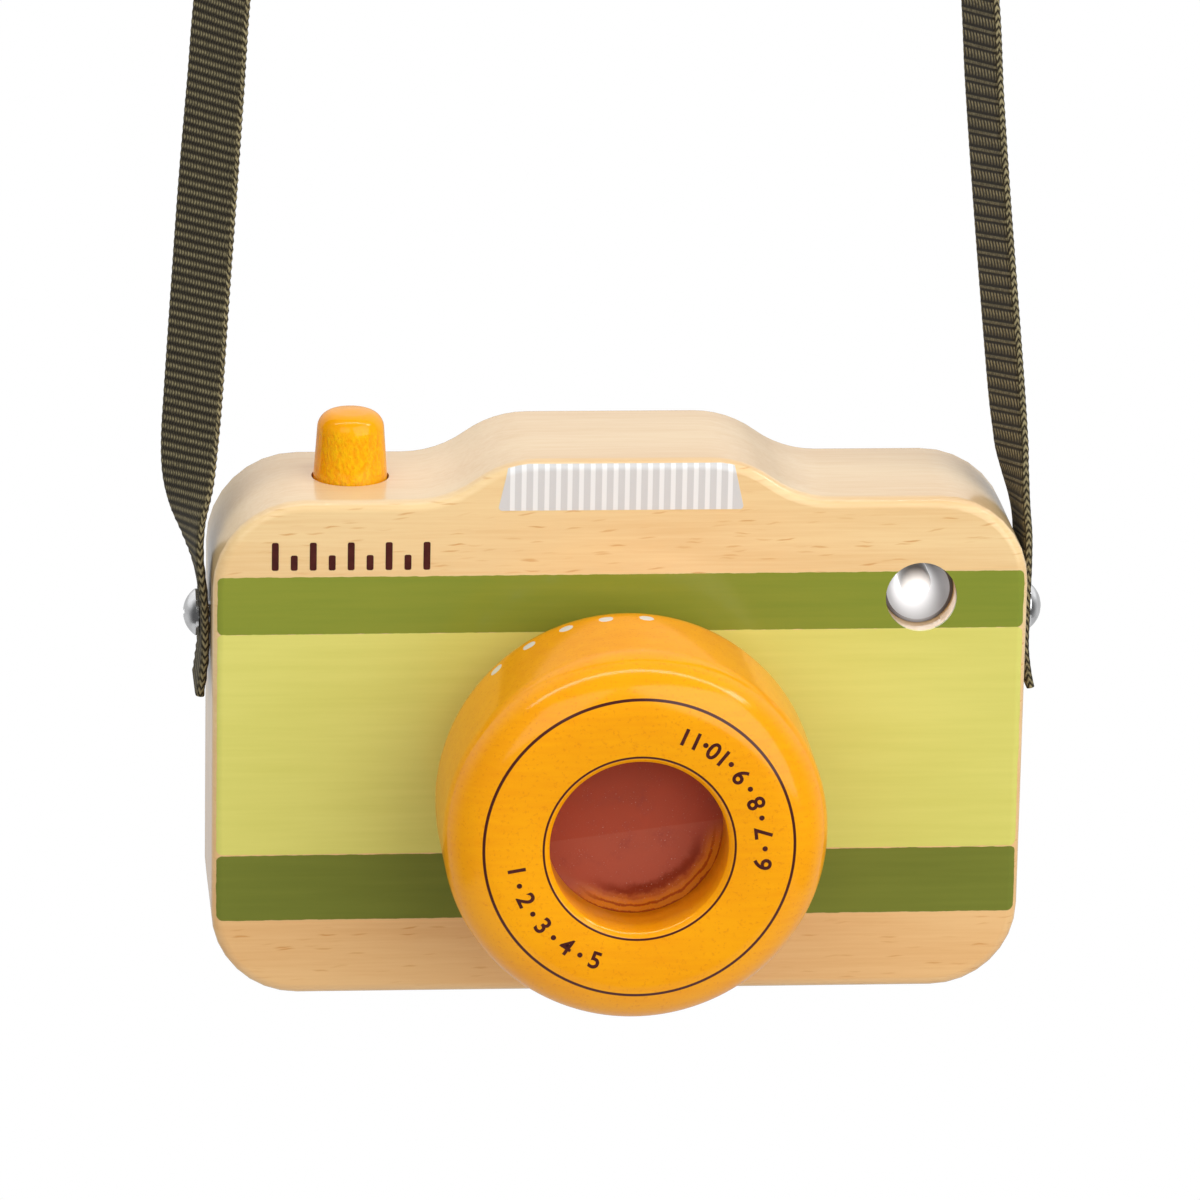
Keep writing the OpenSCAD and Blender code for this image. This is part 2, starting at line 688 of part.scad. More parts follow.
module circuit_board() {
    color("darkgreen") difference() {
        plate([board_left, board_foot], [board_right, board_top], board_front_y, board_back_y,
            plate_corner_r);
        at_board_screws() screw_hole(board_screw_d, board_screw_len);
    }
}

// Chip and capacitor on the back of the board
module board_parts() {
    color("black") {
        translate([flash_x - chip_w, board_back_y, flash_h - chip_h / 2]) cube([chip_w, chip_t, chip_h]);
        backward(riser_x + can_d, board_foot + can_d * 2, board_back_y) cylinder(d = can_d, h = can_len);
    }
}

module board_screws() {
    color("silver") at_board_screws() pan_screw(board_screw_d, board_screw_len, board_head_d, board_head_h);
}

// Open tray for the cells, facing the door
module battery_case() {
    color("black") difference() {
        plate([case_left, battery_foot], [case_right, case_top], case_front_y, case_front_y + case_depth,
            cutter_r);
        translate([case_left + case_wall, case_front_y + case_wall, battery_foot + case_wall])
            cube([case_len - 2 * case_wall, case_depth, case_h - 2 * case_wall]);
        for (x = [contact_left_x, contact_right_x])
            translate([x, cell_y - contact_tab_w / 2 - seat_gap, case_top - case_wall - overrun])
                cube([contact_t + seat_gap, contact_tab_w + 2 * seat_gap, case_wall + 2 * overrun]);
    }
}

// Each cell has its smaller negative button to the left
module battery_cells() {
    first_x = contact_left_x + contact_t + contact_bump_h + seat_gap;
    color("lightgray") for (i = [0 : cell_count - 1])
        translate([first_x + i * cell_t, cell_y, cell_h]) rotate([0, 90, 0]) {
            cylinder(d = cell_d - 2 * cell_step, h = cell_step);
            translate([0, 0, cell_step]) cylinder(d = cell_d, h = cell_t - cell_step - cell_gap);
        }
}

// Plates at both ends of the row, with tabs for the wires and a bump at the left
module battery_contacts() {
    plate_h = case_h - 2 * case_wall - 2 * seat_gap;
    color("gold") {
        for (x = [contact_left_x, contact_right_x]) {
            translate([x, cell_y - cell_d / 2 + seat_gap, battery_foot + case_wall + seat_gap])
                cube([contact_t, cell_d - 2 * seat_gap, plate_h]);
            translate([x, cell_y - contact_tab_w / 2, cell_h])
                cube([contact_t, contact_tab_w, case_top + contact_tab - cell_h]);
        }
        translate([contact_left_x + contact_t, cell_y, cell_h]) rotate([0, 90, 0])
            cylinder(d1 = contact_bump_d, d2 = contact_bump_d / 2, h = contact_bump_h);
    }
}

module battery_wires() {
    color("firebrick") for (side = [-1, 1]) wire(battery_wire(side));
}

// Tapered peg with a rounded top, straight where it runs in its hole
module shutter_button() {
    base_r = button_d / 2;
    top_r = button_top_d / 2;
    round_h = shoulder_h + button_proud - button_round;
    color("orange") translate([button_x, 0, 0]) difference() {
        union() {
            translate([0, 0, washer_top]) cylinder(d = button_d, h = shoulder_h - washer_top);
            translate([0, 0, shoulder_h])
                cylinder(d1 = button_d, d2 = button_top_d, h = round_h - shoulder_h);
            translate([0, 0, round_h]) rotate_extrude() difference() {
                square([top_r, button_round]);
                translate([top_r - button_round, 0]) corner_waste(button_round);
            }
        }
        translate([0, 0, washer_top - overrun])
            cylinder(d = peg_screw_d + 2 * seat_gap, h = peg_screw_len + overrun + seat_gap);
    }
}

module button_washer() {
    color("dimgray") translate([button_x, 0, washer_foot]) difference() {
        cylinder(d = washer_d, h = washer_t);
        translate([0, 0, -overrun]) cylinder(d = peg_screw_d + 2 * seat_gap, h = washer_t + 2 * overrun);
    }
}

module button_screw() {
    color("silver") translate([button_x, 0, washer_foot]) mirror([0, 0, 1])
        pan_screw(peg_screw_d, washer_t + peg_screw_len, peg_head_d, peg_head_h);
}

// Return spring, one tube wound from the shelf up to the washer
spring_rings = spring_turns * spring_rings_per_turn;
spring_rise = spring_top - spring_foot;
spring_line = [for (i = [0 : spring_rings]) let (a = 360 * i / spring_rings_per_turn)
    [spring_d / 2 * cos(a), spring_d / 2 * sin(a), spring_foot + spring_rise * i / spring_rings]];
spring_least_gap = min([for (i = [0 : spring_rings], j = [0 : spring_rings])
    if (j - i > spring_rings_per_turn / 2) norm(spring_line[j] - spring_line[i])]) - spring_wire_d;
echo(str("Return spring: least gap to itself ", spring_least_gap, " mm"));

module button_spring() {
    section = round_section(spring_wire_d, spring_sides);
    color("gainsboro") translate([button_x, 0, 0]) tube([for (i = [0 : spring_rings])
        let (a = 360 * i / spring_rings_per_turn, t = along(spring_line, i))
        ring(section, spring_line[i], t, square_to([cos(a), sin(a), 0], t))]);
}

// Shelf for the spring and the switch, with a flange screwed to the front wall
module button_bracket() {
    color("lightgray") difference() {
        union() {
            translate([button_x - bracket_w / 2, button_pocket_front, shelf_top - bracket_t])
                cube([bracket_w, shelf_back_y - button_pocket_front, bracket_t]);
            plate([button_x - bracket_w / 2, bracket_foot], [button_x + bracket_w / 2, shelf_top],
                button_pocket_front, button_pocket_front + bracket_t, plate_corner_r);
        }
        at_bracket_screws() screw_hole(bracket_screw_d, bracket_screw_len);
        for (side = [-1, 1])
            translate([button_x + side * pin_pitch / 2, 0, shelf_top - bracket_t - overrun])
                cylinder(d = pin_d + 2 * seat_gap, h = bracket_t + 2 * overrun);
    }
}

module bracket_screws() {
    color("silver") at_bracket_screws()
        pan_screw(bracket_screw_d, bracket_screw_len, bracket_head_d, bracket_head_h);
}

module push_switch() {
    color("black") translate([button_x, 0, shelf_top]) {
        translate([-switch_w / 2, -switch_w / 2, 0]) cube([switch_w, switch_w, switch_h]);
        translate([0, 0, switch_h]) cylinder(d = plunger_d, h = plunger_h);
        for (side = [-1, 1])
            translate([side * pin_pitch / 2, 0, -bracket_t - pin_drop])
                cylinder(d = pin_d, h = bracket_t + pin_drop);
    }
}

module switch_wires() {
    color("dimgray") for (side = [-1, 1]) wire(switch_wire(side));
}

// Woven strap: each tail lies on the block's side under its screw
module neck_strap() {
    section = band_section(strap_w, strap_t, strap_t * strap_corner_share);
    line = [for (row = strap_route) [row[0], 0, row[1]]];
    color("darkolivegreen") difference() {
        tube([for (i = [0 : len(line) - 1])
            let (t = along(line, i), turn = strap_route[i][2])
            ring(section, line[i], t, square_to([sin(turn), -cos(turn), 0], t))]);
        at_strap_screws() translate([0, 0, -overrun])
            cylinder(d = strap_screw_d + 2 * seat_gap, h = strap_out + 2 * overrun);
    }
}

module strap_screws() {
    color("silver") at_strap_screws() translate([0, 0, strap_out]) difference() {
        pan_screw(strap_screw_d, strap_screw_len + strap_out, strap_head_d, strap_head_h);
        for (turn = [0, 90])
            rotate([0, 0, turn]) translate([-driver_len / 2, -driver_w / 2, strap_head_h - driver_depth])
                cube([driver_len, driver_w, driver_depth + overrun]);
    }
}

body_block();
rear_cover();
rear_cover_screws();
battery_door();
battery_door_screw();
eyepiece_window();
lens_sleeve();
snap_ring();
felt_washer();
lens_ring();
kaleidoscope_lens();
lens_clamp_ring();
flash_reflector();
flash_lamp();
circuit_board();
board_parts();
board_screws();
battery_case();
battery_cells();
battery_contacts();
battery_wires();
shutter_button();
button_washer();
button_screw();
button_spring();
button_bracket();
bracket_screws();
push_switch();
switch_wires();
neck_strap();
strap_screws();
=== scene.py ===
import json
import math

import bmesh
import bpy
from mathutils import Matrix, Vector


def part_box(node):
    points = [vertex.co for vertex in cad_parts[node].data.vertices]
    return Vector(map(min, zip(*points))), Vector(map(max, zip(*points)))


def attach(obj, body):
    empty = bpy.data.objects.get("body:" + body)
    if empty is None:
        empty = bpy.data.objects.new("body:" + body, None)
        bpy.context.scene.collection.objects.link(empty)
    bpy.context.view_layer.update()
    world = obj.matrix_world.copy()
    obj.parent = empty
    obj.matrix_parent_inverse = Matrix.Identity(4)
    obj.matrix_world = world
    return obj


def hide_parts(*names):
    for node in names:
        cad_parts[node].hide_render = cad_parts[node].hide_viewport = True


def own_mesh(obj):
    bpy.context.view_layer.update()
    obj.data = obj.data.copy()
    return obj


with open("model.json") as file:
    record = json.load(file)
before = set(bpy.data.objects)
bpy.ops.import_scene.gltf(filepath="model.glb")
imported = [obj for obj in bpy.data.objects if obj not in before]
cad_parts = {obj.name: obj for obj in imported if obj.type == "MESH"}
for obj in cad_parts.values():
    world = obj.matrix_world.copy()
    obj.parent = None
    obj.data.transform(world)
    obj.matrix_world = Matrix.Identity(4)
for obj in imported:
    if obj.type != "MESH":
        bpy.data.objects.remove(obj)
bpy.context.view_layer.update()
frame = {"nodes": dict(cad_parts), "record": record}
scene = bpy.context.scene
scene.view_settings.view_transform = "Standard"
mm = 0.001
print("frame loaded:", len(frame["nodes"]), "solids")


# Camera at the photograph's place, in millimetres from the middle of the foot
photoView = {
    "place": (-116.0, -1247.8, 453.5),
    "yaw": 5.21,
    "pitch": 17.38,
    "roll": 1.1,
    "lens": 245.15,
    "sensor": 36,
}


def makeCamera(view):
    yaw, pitch, roll = (math.radians(view[key]) for key in ("yaw", "pitch", "roll"))
    ahead = Vector((math.sin(yaw) * math.cos(pitch), math.cos(yaw) * math.cos(pitch), -math.sin(pitch)))
    level = Vector((math.cos(yaw), -math.sin(yaw), 0))
    upright = level.cross(ahead)
    right = level * math.cos(roll) + upright * math.sin(roll)
    up = upright * math.cos(roll) - level * math.sin(roll)
    camera = bpy.data.objects.new("photoCamera", bpy.data.cameras.new("photoCamera"))
    camera.data.lens = view["lens"]
    camera.data.sensor_width = view["sensor"]
    turn = Matrix((right, up, -ahead)).transposed().to_4x4()
    camera.matrix_world = Matrix.Translation(Vector(view["place"]) * mm) @ turn
    scene.collection.objects.link(camera)
    scene.camera = camera


makeCamera(photoView)
print("camera set")


# Small helpers for node trees
def plug(socket, value):
    if isinstance(value, bpy.types.NodeSocket):
        socket.id_data.links.new(value, socket)
    else:
        socket.default_value = value


# New node in the tree of the sockets that feed it
def addNode(kind, inputs, **settings):
    tree = next(value.id_data for value in inputs.values() if isinstance(value, bpy.types.NodeSocket))
    made = tree.nodes.new(kind)
    for key, value in settings.items():
        setattr(made, key, value)
    for key, value in inputs.items():
        plug(made.inputs[key], value)
    return made


def calc(operation, *values):
    return addNode("ShaderNodeMath", dict(enumerate(values)), operation=operation).outputs[0]


def plus(first, second):
    return calc("ADD", first, second)


def minus(first, second):
    return calc("SUBTRACT", first, second)


def times(first, second):
    return calc("MULTIPLY", first, second)


def timesPlus(first, second, third):
    return calc("MULTIPLY_ADD", first, second, third)


def larger(first, second):
    return calc("MAXIMUM", first, second)


# How far one value lies from another
def apart(first, second):
    return calc("ABSOLUTE", minus(first, second))


def distance(first, second):
    return calc("SQRT", timesPlus(first, first, times(second, second)))


# Half a sine wave over each whole step of the value
def arch(value):
    return calc("SINE", times(calc("FRACT", value), math.pi))


def blendColour(share, first, second, way="MIX"):
    inputs = {0: share, 6: first, 7: second}
    return addNode("ShaderNodeMix", inputs, data_type="RGBA", blend_type=way).outputs[2]


def blendValue(share, first, second):
    return addNode("ShaderNodeMix", {0: share, 2: first, 3: second}).outputs[0]


def spread(value, low, high, lowTo=0.0, highTo=1.0):
    inputs = {"Value": value, "From Min": low, "From Max": high, "To Min": lowTo, "To Max": highTo}
    return addNode("ShaderNodeMapRange", inputs, interpolation_type="SMOOTHSTEP").outputs[0]


# One where a signed distance is below zero, with a soft edge
def within(away, edge):
    return spread(away, edge, -edge)


def newFinish(name, **constants):
    finish = bpy.data.materials.new(name)
    finish.use_nodes = True
    tree = finish.node_tree
    shader = tree.nodes["Principled BSDF"]
    for key, value in constants.items():
        shader.inputs[key].default_value = value
    return finish, tree, shader


# Place on the piece in millimetres, moved so that the centre is at zero
def placeInMm(tree, centre=(0, 0, 0)):
    coords = tree.nodes.new("ShaderNodeTexCoord").outputs["Object"]
    shift = [-part / mm for part in centre]
    inputs = {"Vector": coords, "Location": shift, "Scale": (1 / mm,) * 3}
    return addNode("ShaderNodeMapping", inputs).outputs[0]


def stretched(place, size):
    inputs = {"Vector": place, "Scale": [1 / part for part in size]}
    return addNode("ShaderNodeMapping", inputs).outputs[0]


def noise(place, size, detail=2.0, roughness=0.5):
    inputs = {"Vector": stretched(place, size), "Scale": 1.0, "Detail": detail, "Roughness": roughness}
    return addNode("ShaderNodeTexNoise", inputs).outputs["Fac"]


def split(place):
    parts = addNode("ShaderNodeSeparateXYZ", {"Vector": place}).outputs
    return parts[0], parts[1], parts[2]


def bump(shader, height, depth):
    made = addNode("ShaderNodeBump", {"Height": height, "Distance": depth * mm, "Strength": 1.0})
    plug(shader.inputs["Normal"], made.outputs[0])


# Signed distance in millimetres to a box with round corners in the front view
def roundedBox(across, up, centre, half, corner):
    dx = minus(apart(across, centre[0]), half[0] - corner)
    dz = minus(apart(up, centre[1]), half[1] - corner)
    outside = distance(larger(dx, 0.0), larger(dz, 0.0))
    inside = calc("MINIMUM", larger(dx, dz), 0.0)
    return minus(plus(outside, inside), corner)


# Beech: pale ground, long fibres, soft bands and short dark flecks along the grain, with painted shade and
# sheen
beech = {
    "pale": (0.90, 0.665, 0.345, 1),
    "warm": (0.82, 0.55, 0.26, 1),
    "warmReach": (0.38, 0.88),
    "fibreSize": (14, 0.8, 0.5),
    "fibreShare": 0.55,
    "bandSize": (70, 9, 7),
    "bandShare": 0.7,
    "topSheenTint": (0.95, 0.955, 1.07, 1),
    "topSheenReach": (0.5, 0.95),
    "footShadeTone": (0.95, 0.81, 0.70, 1),
    "lowReach": (14, 64),
    "fleck": (0.62, 0.27, 0.065, 1),
    "fleckSize": (6.6, 14, 0.68),
    "fleckReach": (0.3, 0.08),
    "fleckShare": 0.7,
    "fleckRise": 0.05,
    "frontReach": (0.3, 0.8),
    "wobble": 1.3,
    "wobbleSize": (5, 5, 2.5),
}


def beechColour(place, wood):
    fibres = noise(place, wood["fibreSize"], 5.0, 0.62)
    bands = noise(place, wood["bandSize"])
    warmth = timesPlus(fibres, wood["fibreShare"], times(bands, wood["bandShare"]))
    ground = blendColour(spread(warmth, *wood["warmReach"]), wood["pale"], wood["warm"])
    x, y, z = split(place)
    # Painted shade: the wood gets darker and redder towards the foot
    tone = blendColour(spread(z, *wood["lowReach"]), wood["footShadeTone"], (1, 1, 1, 1))
    ground = blendColour(1.0, ground, tone, "MULTIPLY")
    facing = split(place.id_data.nodes.new("ShaderNodeTexCoord").outputs["Normal"])
    # Painted sheen: faces turned upward get a cooler tint
    tone = blendColour(spread(facing[2], *wood["topSheenReach"]), (1, 1, 1, 1), wood["topSheenTint"])
    ground = blendColour(1.0, ground, tone, "MULTIPLY")
    lift = times(minus(noise(place, wood["wobbleSize"]), 0.5), wood["wobble"])
    lift = timesPlus(x, -wood["fleckRise"], lift)
    moved = addNode("ShaderNodeCombineXYZ", {0: x, 1: y, 2: plus(z, lift)}).outputs[0]
    inputs = {"Vector": stretched(moved, wood["fleckSize"]), "Scale": 1.0}
    cells = addNode("ShaderNodeTexVoronoi", inputs).outputs
    dash = spread(cells["Distance"], *wood["fleckReach"])
    some = addNode("ShaderNodeSeparateColor", {"Color": cells["Color"]}).outputs[0]
    upright = spread(calc("ABSOLUTE", facing[1]), *wood["frontReach"])
    dark = times(dash, times(times(some, wood["fleckShare"]), upright))
    return blendColour(dark, ground, wood["fleck"]), fibres, dark


# Paint and print on the front of the block, in millimetres
frontPaint = {
    "faceDepth": 0.55,
    "faceEdge": 0.08,
    "halfWidth": 64.3,
    "corner": 1.0,
    "topBand": (60.8, 70.3),
    "midBand": (23.95, 60.8),
    "lowBand": (12.85, 23.8),
    "rise": 0.3 / 130,
    "topGreens": ((0.205, 0.265, 0.03, 1), (0.275, 0.31, 0.037, 1)),
    "midGreens": ((0.66, 0.63, 0.14, 1), (0.75, 0.71, 0.185, 1)),
    # The low band's greens are darker than the top band's, as painted shade
    "lowGreens": ((0.155, 0.182, 0.024, 1), (0.205, 0.232, 0.033, 1)),
    "streakSize": (30, 8, 1.4),
    "cloudSize": (45, 30, 22),
    "veilReach": (0.25, 0.85),
    "wobble": 0.32,
    "wobbleSize": (2.2, 2.2, 2.2),
    "edge": 0.05,
    "woodGloss": 0.42,
    "paintGloss": 0.5,
    "relief": 0.03,
}
flashPrint = {
    "middle": -0.5,
    "foot": 80.95,
    "top": 88.5,
    "footHalf": 19.55,
    "topHalf": 17.85,
    "corner": 0.7,
    "pitch": 1.82,
    "stripe": 0.76,
    "stripeEdge": 0.03,
    "stripes": 20,
    "rowEdge": 0.02,
    "grey": (0.67, 0.665, 0.66, 1),
    "white": (0.88, 0.88, 0.87, 1),
}


def bandShare(across, up, band, waver):
    low, high = frontPaint[band]
    centre = (0.0, (low + high) / 2)
    half = (frontPaint["halfWidth"], (high - low) / 2)
    away = roundedBox(across, up, centre, half, frontPaint["corner"])
    return within(plus(away, waver), frontPaint["edge"])


# Share of the print's ground, and of its light stripes
def printShare(offset, up):
    low, high = flashPrint["foot"], flashPrint["top"]
    across = minus(offset, flashPrint["middle"])
    rise = calc("DIVIDE", minus(up, low), high - low)
    narrow = flashPrint["footHalf"] - flashPrint["topHalf"]
    beside = calc("ABSOLUTE", across)
    half = (flashPrint["footHalf"], (high - low) / 2)
    shrunk = timesPlus(rise, narrow, beside)
    away = roundedBox(shrunk, up, (0.0, (low + high) / 2), half, flashPrint["corner"])
    step = plus(calc("DIVIDE", across, flashPrint["pitch"]), 0.5)
    offStripe = minus(0.5, apart(calc("FRACT", step), 0.5))
    half = flashPrint["stripe"] / flashPrint["pitch"] / 2
    stripe = spread(offStripe, half + flashPrint["stripeEdge"], half - flashPrint["stripeEdge"])
    reach = flashPrint["pitch"] * flashPrint["stripes"] / 2
    inRow = spread(beside, reach + flashPrint["rowEdge"], reach - flashPrint["rowEdge"])
    return within(away, frontPaint["edge"]), times(stripe, inRow)


def makeBlockFinish():
    finish, tree, shader = newFinish("paintedBeech", **{
        "Specular IOR Level": 0.05, "IOR": 1.46, "Coat Weight": 0.9, "Coat Roughness": 0.13})
    place = placeInMm(tree)
    across, depth, up = split(place)
    colour, fibres, dark = beechColour(place, beech)
    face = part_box("body_block")[0].y / mm + frontPaint["faceDepth"]
    onFace = spread(depth, face + frontPaint["faceEdge"], face - frontPaint["faceEdge"])
    waver = minus(noise(place, frontPaint["wobbleSize"], 3.0), 0.5)
    waver = times(waver, frontPaint["wobble"])
    streaks = noise(place, frontPaint["streakSize"], 4.0, 0.6)
    clouds = noise(place, frontPaint["cloudSize"])
    veil = timesPlus(streaks, 0.5, times(clouds, 0.6))
    veil = spread(veil, *frontPaint["veilReach"])
    level = timesPlus(across, -frontPaint["rise"], up)
    covered = 0.0
    for band in ("top", "mid", "low"):
        paint = blendColour(veil, *frontPaint[band + "Greens"])
        share = times(bandShare(across, level, band + "Band", waver), onFace)
        colour = blendColour(share, colour, paint)
        covered = larger(covered, share)
    ground, stripe = printShare(across, up)
    ink = blendColour(stripe, flashPrint["grey"], flashPrint["white"])
    printed = times(ground, onFace)
    plug(shader.inputs["Base Color"], blendColour(printed, colour, ink))
    covered = larger(covered, printed)
    gloss = spread(covered, 0.0, 1.0, frontPaint["woodGloss"], frontPaint["paintGloss"])
    plug(shader.inputs["Roughness"], gloss)
    grain = minus(times(fibres, 0.5), dark)
    bump(shader, timesPlus(grain, 0.35, times(covered, 0.7)), frontPaint["relief"])
    return finish


def makePlainBeech(name, tone, coat):
    wood = dict(beech)
    for key in ("pale", "warm", "fleck"):
        wood[key] = tuple(part * share for part, share in zip(beech[key], tone)) + (1,)
    finish, tree, shader = newFinish(name, **{
        "Roughness": 0.5, "Coat Weight": coat, "Coat Roughness": 0.2, "IOR": 1.46})
    colour, fibres, dark = beechColour(placeInMm(tree), wood)
    plug(shader.inputs["Base Color"], colour)
    bump(shader, minus(times(fibres, 0.5), dark), 0.02)
    return finish


# Orange lacquer on turned wood: two tones mixed by soft clouds and fine grain
def lacquerColour(place, lacquer):
    clouds = noise(place, (16, 16, 16), 3.0)
    grain = noise(place, lacquer["grainSize"], 4.0, 0.6)
    mixed = timesPlus(grain, 0.5, times(clouds, 0.6))
    return blendColour(spread(mixed, 0.3, 0.7), *lacquer["tones"]), grain


# The lens ring's lacquer, with fine circles on its face and a row of dots on its side
ringLacquer = {
    "tones": ((0.92, 0.335, 0.002, 1), (0.98, 0.4, 0.002, 1)),
    "grainSize": (9, 2.5, 0.8),
    "pore": (0.8, 0.25, 0.004, 1),
    "poreSize": (0.45, 0.45, 0.45),
    "poreReach": (0.42, 0.3),
    "poreShare": 0.5,
    "peelSize": (0.7, 0.7, 0.7),
    "relief": 0.02,
    "ink": (0.07, 0.014, 0.011, 1),
    "circles": ((24.3, 0.23), (15.0, 0.18)),
    "faceReach": (1.2, 0.9),
    "white": (0.82, 0.78, 0.72, 1),
    "dotAngles": (85, 97.2, 109.4, 121.6, 133.8),
    "dotForward": 13.2,
    "dotRadius": 1.15,
    "waver": 0.4,
    "waverSize": (0.8, 0.8, 0.8),
    "edge": 0.05,
}


def makeRingFinish(lacquer, axis, faceY, blockY):
    finish, tree, shader = newFinish("orangeRing", **{
        "Roughness": 0.4, "Specular IOR Level": 0.02, "IOR": 1.46,
        "Coat Weight": 0.7, "Coat Roughness": 0.14})
    place = placeInMm(tree, axis)
    x, y, z = split(place)
    colour, grain = lacquerColour(place, lacquer)
    pores = spread(noise(place, lacquer["poreSize"]), *lacquer["poreReach"])
    colour = blendColour(times(pores, lacquer["poreShare"]), colour, lacquer["pore"])
    radius = distance(x, z)
    onFace = spread(y, *(faceY / mm + reach for reach in lacquer["faceReach"]))
    for circle, half in lacquer["circles"]:
        away = minus(apart(radius, circle), half)
        line = times(within(away, lacquer["edge"]), onFace)
        colour = blendColour(line, colour, lacquer["ink"])
    angle = calc("ARCTAN2", z, x)
    forward = minus(y, blockY / mm - lacquer["dotForward"])
    waver = times(minus(noise(place, lacquer["waverSize"]), 0.5), lacquer["waver"])
    for degrees in lacquer["dotAngles"]:
        around = times(minus(angle, math.radians(degrees)), radius)
        away = minus(distance(around, forward), lacquer["dotRadius"])
        dot = within(plus(away, waver), lacquer["edge"])
        colour = blendColour(dot, colour, lacquer["white"])
    plug(shader.inputs["Base Color"], colour)
    peel = noise(place, lacquer["peelSize"], 3.0, 0.65)
    bump(shader, timesPlus(grain, 0.5, times(peel, 0.5)), lacquer["relief"])
    return finish


# The button's lacquer: pitted on its side and deeper on top, and deeper to the left as painted shade
buttonLacquer = {
    "tones": ((0.94, 0.36, 0.002, 1), (0.99, 0.54, 0.003, 1)),
    "grainSize": (0.8, 0.8, 2.5),
    "deep": (0.97, 0.3, 0.002, 1),
    "leftShadeReach": (-0.5, -6.5),
    "sideReach": (-1.5, -3.5),
    "topShare": 0.8,
    "pitSize": (0.55, 0.55, 0.9),
    "pitReach": (0.62, 0.36),
    "pitShare": 0.55,
    "pitDrift": 3.0,
    "relief": 0.4,
}


def makeButtonFinish(lacquer, axis, top):
    finish, tree, shader = newFinish("orangeButton", **{
        "Roughness": 0.35, "Specular IOR Level": 0.03, "IOR": 1.46,
        "Coat Weight": 0.6, "Coat Roughness": 0.1})
    place = placeInMm(tree, axis)
    x, y, z = split(place)
    onSide = spread(z, *(top / mm + reach for reach in lacquer["sideReach"]))
    pits = noise(place, lacquer["pitSize"], 3.0, 0.6)
    colour, grain = lacquerColour(place, lacquer)
    rough = times(spread(pits, *lacquer["pitReach"]), onSide)
    colour = blendColour(times(rough, lacquer["pitShare"]), colour, lacquer["deep"])
    onTop = timesPlus(onSide, -lacquer["topShare"], lacquer["topShare"])
    colour = blendColour(onTop, colour, lacquer["tones"][0])
    # Painted shade: deeper orange towards the left side
    deep = spread(timesPlus(pits, lacquer["pitDrift"], x), *lacquer["leftShadeReach"])
    plug(shader.inputs["Base Color"], blendColour(deep, colour, lacquer["deep"]))
    bump(shader, times(timesPlus(grain, 0.35, pits), onSide), lacquer["relief"])
    return finish


# Plain finish with a fine texture of its own
def makeTexturedFinish(name, colour, darker, size, depth, **constants):
    finish, tree, shader = newFinish(name, **constants)
    clouds = noise(placeInMm(tree), (size, size, size), 3.0)
    plug(shader.inputs["Base Color"], blendColour(spread(clouds, 0.3, 0.7), darker, colour))
    bump(shader, clouds, depth)
    return finish


def makeClearFinish(name, tint):
    finish, tree, shader = newFinish(name, **{"Base Color": tint, "Transmission Weight": 1.0, "IOR": 1.25})
    dust = noise(placeInMm(tree), (0.7, 0.7, 0.7), 4.0, 0.7)
    plug(shader.inputs["Roughness"], spread(dust, 0.55, 0.75, 0.02, 0.14))
    return finish


# Disc, half clear, coloured as the dim orange inside of the lens in painted shade, lighter below a slanting
# line as a painted reflection, with dust, and a streaked rim low on one side as painted light of the lit
# inner wall
paintedLightDisc = {
    "clarity": 0.45,
    "upper": (0.56, 0.115, 0.062, 1),
    "reflectionBelow": (0.6, 0.145, 0.085, 1),
    "line": -0.4,
    "lineEdge": 0.15,
    "slope": 0.13,
    "smearSize": (3.5, 3.5, 3.5),
    "smearGloss": (0.5, 0.75, 0.03, 0.2),
    "cloud": (0.42, 0.1, 0.075, 1),
    "cloudReach": (0.5, 0.85),
    "lowWay": (0.42, -0.9),
    "lowReach": (3.5, 9.5),
    "uneven": 3.0,
    "paintedStreak": (0.33, 0.05, 0.016, 1),
    "streakRadius": 10.4,
    "streakReach": (1.7, 0.1),
    "rim": (0.95, 0.33, 0.02, 1),
    "litWallReach": (10.6, 13.0),
    "stripe": (0.5, 0.1, 0.01, 1),
    "stripes": 5.2,
    "stripeDrift": 1.6,
    "stripeReach": (0.1, 0.9),
    "dust": (0.85, 0.5, 0.38, 1),
    "dustReach": (0.4, 0.65),
    "speckSize": (0.28, 0.28, 0.28),
    "speckReach": (0.66, 0.76),
}


